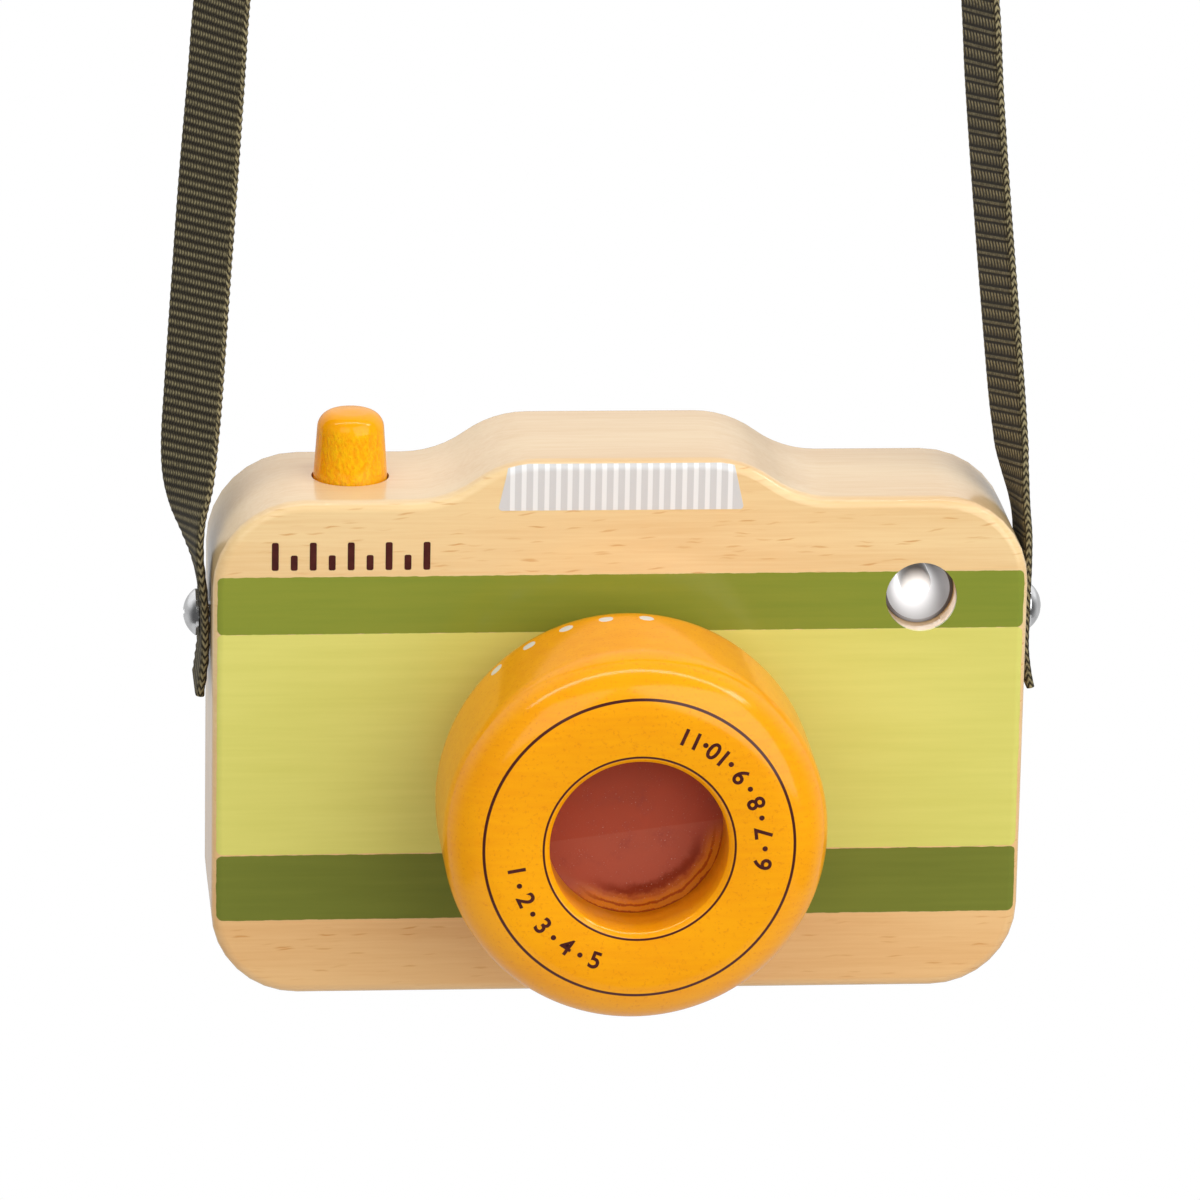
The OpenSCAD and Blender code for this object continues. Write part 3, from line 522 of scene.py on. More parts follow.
def makeDiscFinish(disc, axis):
    finish, tree, shader = newFinish("paintedLightDisc", **{
        "Transmission Weight": disc["clarity"], "IOR": 1.25, "Coat Weight": 0.4, "Coat Roughness": 0.06})
    place = placeInMm(tree, axis)
    x, y, z = split(place)
    # Painted shade above the slanting line, painted reflection below it
    above = minus(timesPlus(x, -disc["slope"], z), disc["line"])
    colour = blendColour(within(above, disc["lineEdge"]), disc["upper"], disc["reflectionBelow"])
    radius = distance(x, z)
    smear = noise(place, disc["smearSize"], 5.0, 0.7)
    colour = blendColour(spread(smear, *disc["cloudReach"]), colour, disc["cloud"])
    # Painted light: the lit inner wall as a streaked orange rim with stripes low on one side
    lowSide = timesPlus(x, disc["lowWay"][0], times(z, disc["lowWay"][1]))
    lowSide = spread(lowSide, *disc["lowReach"])
    uneven = timesPlus(smear, disc["uneven"], minus(radius, disc["uneven"] / 2))
    paintedStreak = spread(apart(uneven, disc["streakRadius"]), *disc["streakReach"])
    colour = blendColour(times(paintedStreak, lowSide), colour, disc["paintedStreak"])
    rim = times(spread(uneven, *disc["litWallReach"]), lowSide)
    colour = blendColour(rim, colour, disc["rim"])
    wave = times(timesPlus(smear, disc["stripeDrift"], radius), disc["stripes"])
    stripe = spread(calc("SINE", wave), *disc["stripeReach"])
    colour = blendColour(times(stripe, rim), colour, disc["stripe"])
    specks = spread(noise(place, disc["speckSize"], 1.0), *disc["speckReach"])
    dust = times(specks, spread(smear, *disc["dustReach"]))
    plug(shader.inputs["Base Color"], blendColour(dust, colour, disc["dust"]))
    plug(shader.inputs["Roughness"], spread(smear, *disc["smearGloss"]))
    return finish


# Woven strap: short raised yarns on the outer face, bars and long loops on the inner face, braided edges; its
# colour follows the relief, with painted shade in the hollows and on one half of each loop row
webbing = {
    "dark": (0.018, 0.014, 0.009, 1),
    "mid": (0.092, 0.076, 0.042, 1),
    "midReach": (0.05, 0.5),
    "light": (0.31, 0.262, 0.14, 1),
    "lightReach": (0.45, 0.95),
    "row": 1.41,
    "yarn": 0.62,
    "gapYarn": 0.36,
    "innerPeriod": 2.82,
    "innerYarn": 1.15,
    "innerFloor": 0.16,
    "bar": 0.84,
    "barReach": (0.13, 0.05),
    "barHeight": 0.68,
    "loop": 0.34,
    "loopReach": (0.36, 0.2),
    "loopShade": (0.25, 0.7, 1.0, 0.5),
    "innerReach": (0.53, 0.55),
    "edgeReach": (1.25, 0.95),
    "braidTurns": 1.1,
    "braidSlope": -0.55,
    "fuzz": 2.2,
    "fuzzReach": (0.2, 0.75, 0.6, 1.1),
    "relief": 0.16,
}


def makeWebFinish(web, length, girth):
    finish, tree, shader = newFinish("wovenWeb", **{
        "Roughness": 0.75, "Specular IOR Level": 0.15, "Sheen Weight": 0.03, "Sheen Roughness": 0.4})
    weave = tree.nodes.new("ShaderNodeUVMap")
    weave.uv_map = "weave"
    along, across = split(weave.outputs[0])[:2]
    rows = times(along, length / mm / web["row"])
    columns = times(across, girth / mm / web["yarn"])
    shift = times(calc("MODULO", calc("FLOOR", rows), 2.0), 0.5)
    rowArch = arch(rows)
    yarns = timesPlus(arch(plus(columns, shift)), 0.75, 0.25)
    dash = times(calc("POWER", rowArch, 1.3), yarns)
    between = calc("POWER", arch(plus(columns, 0.25)), 2.0)
    gap = timesPlus(rowArch, -web["gapYarn"], web["gapYarn"])
    dash = larger(dash, times(between, gap))
    pair = calc("FRACT", times(along, length / mm / web["innerPeriod"]))
    bar = spread(apart(pair, web["bar"]), *web["barReach"])
    loopRow = spread(apart(pair, web["loop"]), *web["loopReach"])
    loopRow = times(loopRow, spread(pair, *web["loopShade"]))
    loops = calc("POWER", arch(times(across, girth / mm / web["innerYarn"])), 1.2)
    bars = larger(times(bar, web["barHeight"]), times(loops, loopRow))
    bars = larger(bars, web["innerFloor"])
    faces = blendValue(spread(across, *web["innerReach"]), dash, bars)
    folded = calc("PINGPONG", across, 0.5)
    besideEdge = times(calc("MINIMUM", apart(folded, 0.5), folded), girth / mm)
    braid = arch(timesPlus(rows, web["braidTurns"], times(besideEdge, web["braidSlope"])))
    height = blendValue(spread(besideEdge, *web["edgeReach"]), faces, braid)
    inputs = {"Vector": placeInMm(tree), "Scale": web["fuzz"], "Detail": 3.0}
    fuzz = addNode("ShaderNodeTexNoise", inputs).outputs["Fac"]
    # Painted shade: the weave's hollows are darker and its raised yarns lighter
    shadedRelief = times(height, spread(fuzz, *web["fuzzReach"]))
    low = blendColour(spread(shadedRelief, *web["midReach"]), web["dark"], web["mid"])
    colour = blendColour(spread(shadedRelief, *web["lightReach"]), low, web["light"])
    plug(shader.inputs["Base Color"], colour)
    bump(shader, height, web["relief"])
    return finish


print("finishes ready")


# Makes an object of a bmesh, smooth but for its sharp edges, riding on a body
def addPiece(name, bm, finish, body, nodes=(), sharp=34):
    mesh = bpy.data.meshes.new(name)
    bm.to_mesh(mesh)
    bm.free()
    mesh.materials.append(finish)
    mesh.shade_smooth()
    mesh.set_sharp_from_angle(angle=math.radians(sharp))
    piece = bpy.data.objects.new(name, mesh)
    scene.collection.objects.link(piece)
    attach(piece, body)
    if nodes:
        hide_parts(*nodes)
    return piece


# Neck strap along the route of its solid: across and height in millimetres, turn in degrees
neckStrap = {
    "width": 15.0 * mm,
    "thickness": 1.5 * mm,
    "rowPitch": webbing["row"] * mm,
    "ringsPerRow": 4,
    "ribDepth": 0.07 * mm,
    "loopDepth": 0.28 * mm,
    "backLoops": 0.25,
    "acrossSteps": 14,
    "edgeSteps": 6,
    "smoothSteps": 12,
    "lean": 8.0 * mm,
    "leanReach": (66.0 * mm, 160.0 * mm),
    "skew": (0.03, 0.1),
    "route": [
        (-66.7, 48, 0), (-66.3, 51, 0), (-65.9, 55, 0), (-65.9, 59.9, 0), (-66.1, 64, 0), (-66.8, 68, 3),
        (-67.6, 72, 9), (-68.3, 76.5, 19), (-68.4, 81.5, 29), (-68.2, 87, 33), (-67.6, 95, 34.5),
        (-66.5, 111, 34.5), (-65.3, 128, 34.5), (-64.1, 144, 33), (-62.9, 160, 31), (-60.4, 176, 24),
        (-54, 192, 17), (-43, 207, 10), (-24, 219, 4), (-2, 223, 0), (20, 219, 4), (38, 207, 8),
        (48.5, 192, 11), (54.2, 176, 14), (57, 160, 14.5), (58.3, 144, 14.5), (59.8, 127.5, 14.5),
        (61.4, 111, 14.5), (63, 94.5, 14), (63.7, 88, 12.5), (64.1, 84.5, 11), (64.7, 81, 7.5),
        (65.4, 77, 3), (65.9, 73, 1), (66, 68.5, 0), (65.9, 64, 0), (65.9, 59.9, 0), (65.9, 55, 0),
        (66.4, 51, 0), (67, 48.2, 0),
    ],
}


# Smooth line through points of four numbers: a place and a turn
def smoothLine(points, steps):
    line = []
    last = len(points) - 1
    for i in range(last):
        before, start, end, after = points[max(i - 1, 0)], points[i], points[i + 1], points[min(i + 2, last)]
        for k in range(steps):
            t = k / steps
            pull = (end - before) * t
            bend = (2 * before - 5 * start + 4 * end - after) * t ** 2
            swing = (3 * start - before - 3 * end + after) * t ** 3
            line.append((2 * start + pull + bend + swing) / 2)
    return line + [points[-1]]


# The same line with points at even distances
def evenLine(line, step):
    gaps = [(b.xyz - a.xyz).length for a, b in zip(line, line[1:])]
    total = sum(gaps)
    count = round(total / step)
    even, i, done = [], 0, 0.0
    for k in range(count + 1):
        want = total * k / count
        while i < len(gaps) - 1 and done + gaps[i] < want:
            done += gaps[i]
            i += 1
        even.append(line[i].lerp(line[i + 1], min(1.0, (want - done) / gaps[i])))
    return even, total


def arcPoints(centre, radius, start, end, steps):
    angles = [math.radians(start + (end - start) * k / steps) for k in range(steps + 1)]
    return [(centre[0] + radius * math.cos(a), centre[1] + radius * math.sin(a)) for a in angles]


# Points round the strap's section: across, out, and which stretch they belong to
def strapSection(strap):
    edge = strap["thickness"] / 2 - strap["ribDepth"]
    half = strap["width"] / 2 - edge - strap["loopDepth"]
    quarter = strap["edgeSteps"] // 2
    flat = [-half + 2 * half * k / strap["acrossSteps"] for k in range(strap["acrossSteps"])]
    points = [(x, y, "back") for x, y in arcPoints((-half, 0), edge, 180, 90, quarter)[:-1]]
    points += [(x, edge, "outer") for x in flat]
    points += [(x, y, "front") for x, y in arcPoints((half, 0), edge, 90, -90, strap["edgeSteps"])[:-1]]
    points += [(-x, -edge, "inner") for x in flat]
    points += [(x, y, "back") for x, y in arcPoints((-half, 0), edge, -90, -180, quarter)]
    return points


def makeStrap(strap):
    leanLow, leanHigh = strap["leanReach"]
    route = []
    for x, z, turn in strap["route"]:
        share = min(max((z * mm - leanLow) / (leanHigh - leanLow), 0.0), 1.0)
        lean = strap["lean"] * math.sin(math.pi / 2 * share)
        route.append(Vector((x * mm, lean, z * mm, math.radians(turn))))
    step = strap["rowPitch"] / strap["ringsPerRow"]
    line, length = evenLine(smoothLine(route, strap["smoothSteps"]), step)
    section = strapSection(strap)
    rings, sides = len(line) - 1, len(section) - 1
    bm = bmesh.new()
    bm.loops.layers.uv.new("weave")
    bmesh.ops.create_grid(bm, x_segments=rings, y_segments=sides, size=0.5, calc_uvs=True)
    for vert in bm.verts:
        i = round((vert.co.x + 0.5) * rings)
        across, out, stretch = section[round((vert.co.y + 0.5) * sides)]
        ahead = (line[min(i + 1, rings)].xyz - line[max(i - 1, 0)].xyz).normalized()
        turn = line[i].w
        front = Vector((math.sin(turn), -math.cos(turn), 0))
        front = (front - ahead * front.dot(ahead)).normalized()
        outward = front.cross(ahead)
        middle = 1 - 2 * i / rings
        ease = min(2 * abs(middle), math.sin(math.pi * abs(middle)))
        slant = strap["skew"][0] * ease if middle > 0 else -strap["skew"][1] * ease
        wave = math.cos(2 * math.pi * i / strap["ringsPerRow"])
        slowWave = math.cos(math.pi * i / strap["ringsPerRow"])
        if stretch == "outer":
            out += strap["ribDepth"] * wave
        elif stretch == "inner":
            out -= strap["ribDepth"] * slowWave
        elif stretch == "front":
            across += strap["loopDepth"] * (0.5 + 0.5 * wave)
        else:
            across += strap["loopDepth"] * strap["backLoops"] * wave
        vert.co = line[i].xyz + (front + ahead * slant) * across + outward * out
    bmesh.ops.remove_doubles(bm, verts=bm.verts, dist=0.001 * mm)
    bmesh.ops.holes_fill(bm, edges=[edge for edge in bm.edges if edge.is_boundary], sides=0)
    bmesh.ops.recalc_face_normals(bm, faces=bm.faces)
    girth = 2 * strap["width"] + (math.pi - 2) * strap["thickness"]
    finish = makeWebFinish(webbing, length, girth)
    piece = addPiece("neckStrap", bm, finish, "camera", ["neck_strap"], 60)
    print("strap woven:", rings, "rings,", round(length / mm), "mm long")


makeStrap(neckStrap)


# Merged, smooth copy of a solid; a rim softens its sharp edges
def polished(node, name, finish, sharp=30, rim=0.0):
    bm = bmesh.new()
    bm.from_mesh(frame["nodes"][node].data)
    bmesh.ops.remove_doubles(bm, verts=bm.verts, dist=0.002 * mm)
    bmesh.ops.dissolve_limit(bm, angle_limit=math.radians(0.4), verts=bm.verts, edges=bm.edges)
    body = next(key for key, nodes in frame["record"]["behaviour"]["bodies"].items() if node in nodes)
    piece = addPiece(name, bm, finish, body, [node], sharp)
    if rim:
        soft = piece.modifiers.new("softRim", "BEVEL")
        soft.width = rim
        soft.segments = 2
        soft.limit_method = "ANGLE"
        soft.angle_limit = math.radians(50)
    flat = piece.modifiers.new("flatFaces", "WEIGHTED_NORMAL")
    flat.keep_sharp = True
    flat.weight = 60
    return piece


# Spins a closed or open profile of (radius, forward) points about the local Z axis
def turned(profile, steps, closed):
    bm = bmesh.new()
    verts = [bm.verts.new((radius, 0, forward)) for radius, forward in profile]
    pairs = list(zip(verts, verts[1:]))
    if closed:
        pairs.append((verts[-1], verts[0]))
    edges = [bm.edges.new(pair) for pair in pairs]
    bmesh.ops.spin(bm, geom=verts + edges, cent=(0, 0, 0), axis=(0, 0, 1), angle=2 * math.pi,
                   steps=steps, use_merge=True, use_duplicate=False)
    bmesh.ops.remove_doubles(bm, verts=bm.verts, dist=0.0005 * mm)
    bmesh.ops.recalc_face_normals(bm, faces=bm.faces)
    return bm


# Turns local Z to look forward, out of the front, from a place on the front plane
def facingForward(place):
    return Matrix.Translation(place) @ Matrix.Rotation(math.radians(90), 4, "X")


blockLow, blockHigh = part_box("body_block")
ringLow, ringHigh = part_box("lens_ring")
lensAxis = (ringLow + ringHigh) / 2
lensAxis.y = 0


# Turned lens ring, from its bore over the round edges to the mouth
lensRing = {
    "backRound": 11.0 * mm,
    "frontRound": 8.3 * mm,
    "mouth": 14.0 * mm,
    "mouthBevel": 0.8 * mm,
    "recess": 10.0 * mm,
    "seat": 15.6 * mm,
    "bore": 16.58 * mm,
    "rim": 0.18 * mm,
    "steps": 160,
    "arcSteps": 14,
}


def makeLensRing(ring):
    radius = (ringHigh.x - ringLow.x) / 2
    back = blockLow.y - ringHigh.y
    face = blockLow.y - ringLow.y
    clampBack = blockLow.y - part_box("lens_clamp_ring")[1].y
    discFace = face - ring["recess"]
    backCentre = (radius - ring["backRound"], back + ring["backRound"])
    frontCentre = (radius - ring["frontRound"], face - ring["frontRound"])
    profile = [(ring["bore"], back)]
    profile += arcPoints(backCentre, ring["backRound"], -90, 0, ring["arcSteps"])
    profile += arcPoints(frontCentre, ring["frontRound"], 0, 90, ring["arcSteps"])
    profile += [(ring["mouth"] + ring["mouthBevel"], face), (ring["mouth"], face - ring["mouthBevel"])]
    profile += [(ring["mouth"], discFace), (ring["seat"], discFace)]
    profile += [(ring["seat"], clampBack), (ring["bore"], clampBack)]
    bm = turned(profile, ring["steps"], True)
    rims = [edge for edge in bm.edges if edge.is_manifold and edge.calc_face_angle() > math.radians(40)]
    bmesh.ops.bevel(bm, geom=rims, offset=ring["rim"], offset_type="OFFSET", affect="EDGES", segments=2,
                    profile=0.5, material=-1, clamp_overlap=True)
    place = Vector((lensAxis.x, blockLow.y, lensAxis.z))
    bmesh.ops.transform(bm, matrix=facingForward(place), verts=bm.verts)
    finish = makeRingFinish(ringLacquer, lensAxis, ringLow.y, blockLow.y)
    addPiece("lensRing", bm, finish, "lens", ["lens_ring"])


makeLensRing(lensRing)


# Plain dial numbers printed on the lens face, their tops towards the middle
lensNumbers = {
    "radius": 19.6 * mm,
    "height": 2.8 * mm,
    "fontScale": 1.4,
    "bold": 0.03,
    "sink": 0.01 * mm,
    "proud": 0.03 * mm,
    "arcs": ((190, 15, ("1", "2", "3", "4", "5")), (352, 15, ("6", "7", "8", "9", "10", "11"))),
    "dot": 0.42 * mm,
}


def textMesh(words, numbers, thickness):
    curve = bpy.data.curves.new("numberText", "FONT")
    curve.body = words
    curve.align_x = "CENTER"
    curve.align_y = "CENTER"
    curve.size = numbers["height"] * numbers["fontScale"]
    curve.offset = numbers["bold"] * numbers["height"]
    curve.extrude = thickness / 2
    holder = bpy.data.objects.new("numberText", curve)
    scene.collection.objects.link(holder)
    bpy.context.view_layer.update()
    mesh = bpy.data.meshes.new_from_object(holder.evaluated_get(bpy.context.evaluated_depsgraph_get()))
    bpy.data.objects.remove(holder)
    return mesh


def onLensFace(angle, radius, lift):
    right = Vector((-math.sin(angle), 0, math.cos(angle)))
    up = Vector((-math.cos(angle), 0, -math.sin(angle)))
    place = Vector((lensAxis.x, ringLow.y - lift, lensAxis.z)) - up * radius
    return Matrix.Translation(place) @ Matrix((right, up, right.cross(up))).transposed().to_4x4()


def makeLensNumbers(numbers, finish):
    bm = bmesh.new()
    lift = (numbers["proud"] - numbers["sink"]) / 2
    thickness = numbers["proud"] + numbers["sink"]
    for start, step, words in numbers["arcs"]:
        for k, word in enumerate(words):
            mesh = textMesh(word, numbers, thickness)
            mesh.transform(onLensFace(math.radians(start + k * step), numbers["radius"], lift))
            bm.from_mesh(mesh)
            if k + 1 < len(words):
                spot = onLensFace(math.radians(start + (k + 0.5) * step), numbers["radius"], lift)
                bmesh.ops.create_cone(bm, cap_ends=True, segments=20, radius1=numbers["dot"],
                                      radius2=numbers["dot"], depth=thickness, matrix=spot)
    bmesh.ops.remove_doubles(bm, verts=bm.verts, dist=0.0005 * mm)
    bmesh.ops.recalc_face_normals(bm, faces=bm.faces)
    addPiece("lensNumbers", bm, finish, "lens", sharp=20)


inkFinish = makeTexturedFinish("brownInk", (0.085, 0.018, 0.014, 1), (0.06, 0.012, 0.01, 1), 1.5, 0.003,
                               **{"Roughness": 0.5, "Specular IOR Level": 0.1})
makeLensNumbers(lensNumbers, inkFinish)


# Plain light scale printed on the block's front: long and short bars in a row
lightScale = {
    "left": -55.2 * mm,
    "pitch": 3.0 * mm,
    "bars": 9,
    "foot": 71.3 * mm,
    "long": 4.6 * mm,
    "short": 2.5 * mm,
    "width": 1.1 * mm,
    "corner": 0.3 * mm,
    "sink": 0.01 * mm,
    "proud": 0.03 * mm,
}


def makeLightScale(scale, finish):
    bm = bmesh.new()
    for k in range(scale["bars"]):
        tall = scale["short"] if k % 2 else scale["long"]
        made = bmesh.ops.create_grid(bm, x_segments=1, y_segments=1, size=0.5)["verts"]
        bmesh.ops.scale(bm, vec=(scale["width"], tall, 1), verts=made)
        across = scale["left"] + k * scale["pitch"]
        place = Vector((across, blockLow.y + scale["sink"], scale["foot"] + tall / 2))
        bmesh.ops.transform(bm, matrix=facingForward(place), verts=made)
    bmesh.ops.bevel(bm, geom=bm.verts[:], offset=scale["corner"], offset_type="OFFSET", affect="VERTICES",
                    segments=4, profile=0.5, material=-1, clamp_overlap=True)
    raised = bmesh.ops.extrude_face_region(bm, geom=bm.faces[:])["geom"]
    lifted = [item for item in raised if isinstance(item, bmesh.types.BMVert)]
    bmesh.ops.translate(bm, vec=(0, -scale["sink"] - scale["proud"], 0), verts=lifted)
    bmesh.ops.recalc_face_normals(bm, faces=bm.faces)
    addPiece("lightScale", bm, finish, "camera")


makeLightScale(lightScale, inkFinish)
print("lens ring and prints made")


# Shutter button: straight in its hole, tapered above, with a round top
buttonLow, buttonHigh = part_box("shutter_button")
shutterButton = {
    "topRadius": 5.35 * mm,
    "round": 2.8 * mm,
    "crown": 0.25 * mm,
    "shoulder": 82.5 * mm,
    "steps": 96,
    "arcSteps": 10,
}


def makeButton(button):
    centre = (buttonLow + buttonHigh) / 2
    radius = (buttonHigh.x - buttonLow.x) / 2
    top = buttonHigh.z - button["crown"]
    corner = (button["topRadius"] - button["round"], top - button["round"])
    arc = arcPoints(corner, button["round"], 0, 90, button["arcSteps"])
    profile = [(0, buttonLow.z), (radius, buttonLow.z), (radius, button["shoulder"])] + arc
    profile += [(arc[-1][0] * 0.5, top + button["crown"] * 0.8), (0, buttonHigh.z)]
    bm = turned(profile, button["steps"], False)
    bmesh.ops.translate(bm, vec=(centre.x, centre.y, 0), verts=bm.verts)
    finish = makeButtonFinish(buttonLacquer, (centre.x, centre.y, 0), buttonHigh.z)
    addPiece("shutterButton", bm, finish, "shutter", ["shutter_button"])


makeButton(shutterButton)


# Flash: bright cup with a lip, and the lit lamp in its middle
flashCup = {
    "lip": 0.5 * mm,
    "hole": 2.6 * mm,
    "steps": 72,
    "arcSteps": 12,
    "clear": (0.4, 0.39, 0.4, 1),
    "rimShade": (0.14, 0.125, 0.13, 1),
    "rimShadeReach": (2.4, 4.8),
    "light": (1.0, 0.99, 0.97, 1),
    "glowDrop": 1.7,
    "glowReach": (4.6, 0.9, 0.0, 1.15),
}
flashLamp = {
    "rim": 1.0 * mm,
    "rimStep": 0.4 * mm,
    "glass": ((0.9, 0.9, 0.92, 1), (0.97, 0.97, 0.97, 1)),
    "steps": 48,
    "arcSteps": 10,
}


# Painted light of the lit flash, centred a little below its axis, on the lamp and on the cup around it
def paintedFlashGlow(x, z, cup):
    away = distance(x, plus(z, cup["glowDrop"]))
    return spread(away, *cup["glowReach"])


def makeGlowFinish(cup, lamp):
    finish, tree, shader = newFinish("litLamp", **{"Roughness": 0.25, "Emission Color": cup["light"]})
    clouds = noise(placeInMm(tree), (3, 3, 3))
    plug(shader.inputs["Base Color"], blendColour(clouds, *lamp["glass"]))
    low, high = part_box("flash_lamp")
    x, y, z = split(placeInMm(tree, (low + high) / 2))
    plug(shader.inputs["Emission Strength"], paintedFlashGlow(x, z, cup))
    return finish


def makeFlash(cup, lamp, silver, glow):
    low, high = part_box("flash_reflector")
    centre = (low + high) / 2
    radius = (high.x - low.x) / 2
    depth = high.y - low.y
    mouth = radius - cup["lip"]
    curve = []
    for k in range(cup["arcSteps"] + 1):
        share = k / cup["arcSteps"]
        curve.append((cup["hole"] + (mouth - cup["hole"]) * math.sqrt(share), depth * share))
    profile = curve + [(radius, depth), (radius, 0)]
    bm = turned(profile, cup["steps"], True)
    bmesh.ops.transform(bm, matrix=facingForward(Vector((centre.x, high.y, centre.z))), verts=bm.verts)
    addPiece("flashCup", bm, silver, "camera", ["flash_reflector"])
    low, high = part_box("flash_lamp")
    rimRadius = (high.x - low.x) / 2
    lampRadius = rimRadius - lamp["rimStep"]
    length = high.y - low.y
    dome = arcPoints((0, length - lampRadius), lampRadius, 0, 90, lamp["arcSteps"])
    profile = [(0, 0), (rimRadius, 0), (rimRadius, lamp["rim"]), (lampRadius, lamp["rim"])] + dome
    bm = turned(profile, lamp["steps"], False)
    bmesh.ops.transform(bm, matrix=facingForward(Vector((centre.x, high.y, centre.z))), verts=bm.verts)
    addPiece("flashLamp", bm, glow, "camera", ["flash_lamp"])


# Grey plating with painted shade that darkens it towards the cup's rim and clears towards the lamp, and the
# flash's painted glow on it
def makeCupFinish(cup):
    finish, tree, shader = newFinish("silverCup", **{
        "Metallic": 0.1, "Roughness": 0.34, "Emission Color": cup["light"]})
    low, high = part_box("flash_reflector")
    place = placeInMm(tree, (low + high) / 2)
    x, y, z = split(place)
    rimShade = spread(distance(x, z), *cup["rimShadeReach"])
    plug(shader.inputs["Base Color"], blendColour(rimShade, cup["clear"], cup["rimShade"]))
    plug(shader.inputs["Emission Strength"], paintedFlashGlow(x, z, cup))
    bump(shader, noise(place, (1, 1, 1)), 0.01)
    return finish


makeFlash(flashCup, flashLamp, makeCupFinish(flashCup), makeGlowFinish(flashCup, flashLamp))


# Domed strap screws with a cross recess
strapScrew = {
    "headRadius": 3.75 * mm,
    "headHeight": 2.4 * mm,
    "rimHeight": 0.45 * mm,
    "shank": 1.75 * mm,
    "slotLength": 4.2 * mm,
    "slotWidth": 0.95 * mm,
    "slotDepth": 1.3 * mm,
    "slotTaper": 0.55,
    "turn": 22,
    "steps": 64,
    "arcSteps": 10,
}


def crossCutter(screw):
    bm = bmesh.new()
    for turn in (0, 90):
        made = bmesh.ops.create_cube(bm, size=1.0)["verts"]
        bmesh.ops.scale(bm, vec=(screw["slotLength"], screw["slotWidth"], 2 * screw["slotDepth"]), verts=made)
        low = [vert for vert in made if vert.co.z < 0]
        bmesh.ops.scale(bm, vec=(screw["slotTaper"], screw["slotTaper"], 1), verts=low)
        bmesh.ops.rotate(bm, cent=(0, 0, 0), matrix=Matrix.Rotation(math.radians(turn), 3, "Z"), verts=made)
    bmesh.ops.translate(bm, vec=(0, 0, screw["headHeight"]), verts=bm.verts)
    return bm


# Cuts one bmesh out of another
def cutOut(bm, cutter):
    solids = []
    for part in (bm, cutter):
        mesh = bpy.data.meshes.new("cutWork")
        part.to_mesh(mesh)
        part.free()
        solids.append(bpy.data.objects.new("cutWork", mesh))
        scene.collection.objects.link(solids[-1])
    cut = solids[0].modifiers.new("cut", "BOOLEAN")
    cut.operation = "DIFFERENCE"
    cut.solver = "EXACT"
    cut.use_self = True
    cut.object = solids[1]
    bpy.context.view_layer.update()
    result = bmesh.new()
    result.from_object(solids[0], bpy.context.evaluated_depsgraph_get())
    for solid in solids:
        bpy.data.objects.remove(solid)
    return result


def makeStrapScrews(screw, finish):
    height = screw["headHeight"] - screw["rimHeight"]
    domeRadius = (screw["headRadius"] ** 2 + height ** 2) / (2 * height)
    sweep = math.degrees(math.asin(screw["headRadius"] / domeRadius))
    low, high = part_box("strap_screws")
    centre = (low + high) / 2
    inside = min(abs(vert.co.x) for vert in frame["nodes"]["strap_screws"].data.vertices)
    seat = high.x - screw["headHeight"]
    dome = arcPoints((0, screw["headHeight"] - domeRadius), domeRadius, 90 - sweep, 90, screw["arcSteps"])
    profile = [(0, inside - seat), (screw["shank"], inside - seat), (screw["shank"], 0)]
    profile += [(screw["headRadius"], 0)] + dome
    bm = bmesh.new()
    for side in (-1, 1):
        head = cutOut(turned(profile, screw["steps"], False), crossCutter(screw))
        place = Matrix.Translation((side * seat, centre.y, centre.z))
        sideways = Matrix.Rotation(math.radians(90 * side), 4, "Y")
        turn = Matrix.Rotation(math.radians(screw["turn"]), 4, "Z")
        bmesh.ops.transform(head, matrix=place @ sideways @ turn, verts=head.verts)
        mesh = bpy.data.meshes.new("screwHead")
        head.to_mesh(mesh)
        head.free()
        bm.from_mesh(mesh)
    addPiece("strapScrews", bm, finish, "camera", ["strap_screws"])


nickelFinish = makeTexturedFinish("nickelScrew", (0.84, 0.85, 0.86, 1), (0.72, 0.72, 0.73, 1), 1.2, 0.006,
                                  Metallic=1.0, Roughness=0.16)
makeStrapScrews(strapScrew, nickelFinish)
print("button, flash and screws made")


# Block and back, smooth copies of their solids
polished("body_block", "bodyBlock", makeBlockFinish(), sharp=38)
coverFinish = makePlainBeech("plainPly", (0.96, 0.93, 0.9), 0.2)
polished("rear_cover", "rearCover", coverFinish, rim=0.25 * mm)
shadedTone = (0.95, 0.42, 0.05)
polished("lens_sleeve", "lensSleeve", makePlainBeech("shadedOrange", shadedTone, 0.15))
polished("lens_clamp_ring", "lensClampRing", makePlainBeech("shadedRing", shadedTone, 0.15))
darkPlastic = makeTexturedFinish("darkPlastic", (0.045, 0.045, 0.045, 1), (0.03, 0.03, 0.03, 1), 0.4, 0.02,
                                 Roughness=0.5)
polished("battery_door", "batteryDoor", darkPlastic, rim=0.2 * mm)
polished("rear_cover_screws", "coverScrews", nickelFinish)
polished("battery_door_screw", "doorScrew", nickelFinish)
discFinish = makeDiscFinish(paintedLightDisc, lensAxis)
polished("kaleidoscope_lens", "kaleidoscopeLens", discFinish, sharp=8)
windowFinish = makeClearFinish("clearWindow", (0.97, 0.97, 0.97, 1))
polished("eyepiece_window", "eyepieceWindow", windowFinish)
feltFinish = makeTexturedFinish("brownFelt", (0.05, 0.035, 0.025, 1), (0.03, 0.02, 0.014, 1), 0.3, 0.06,
                                **{"Roughness": 0.95, "Sheen Weight": 0.4})
polished("felt_washer", "feltWasher", feltFinish)


# Button spring, with a mesh of its own
def makeSpring():
    spring = polished("button_spring", "buttonSpring", nickelFinish)
    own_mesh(spring)


makeSpring()


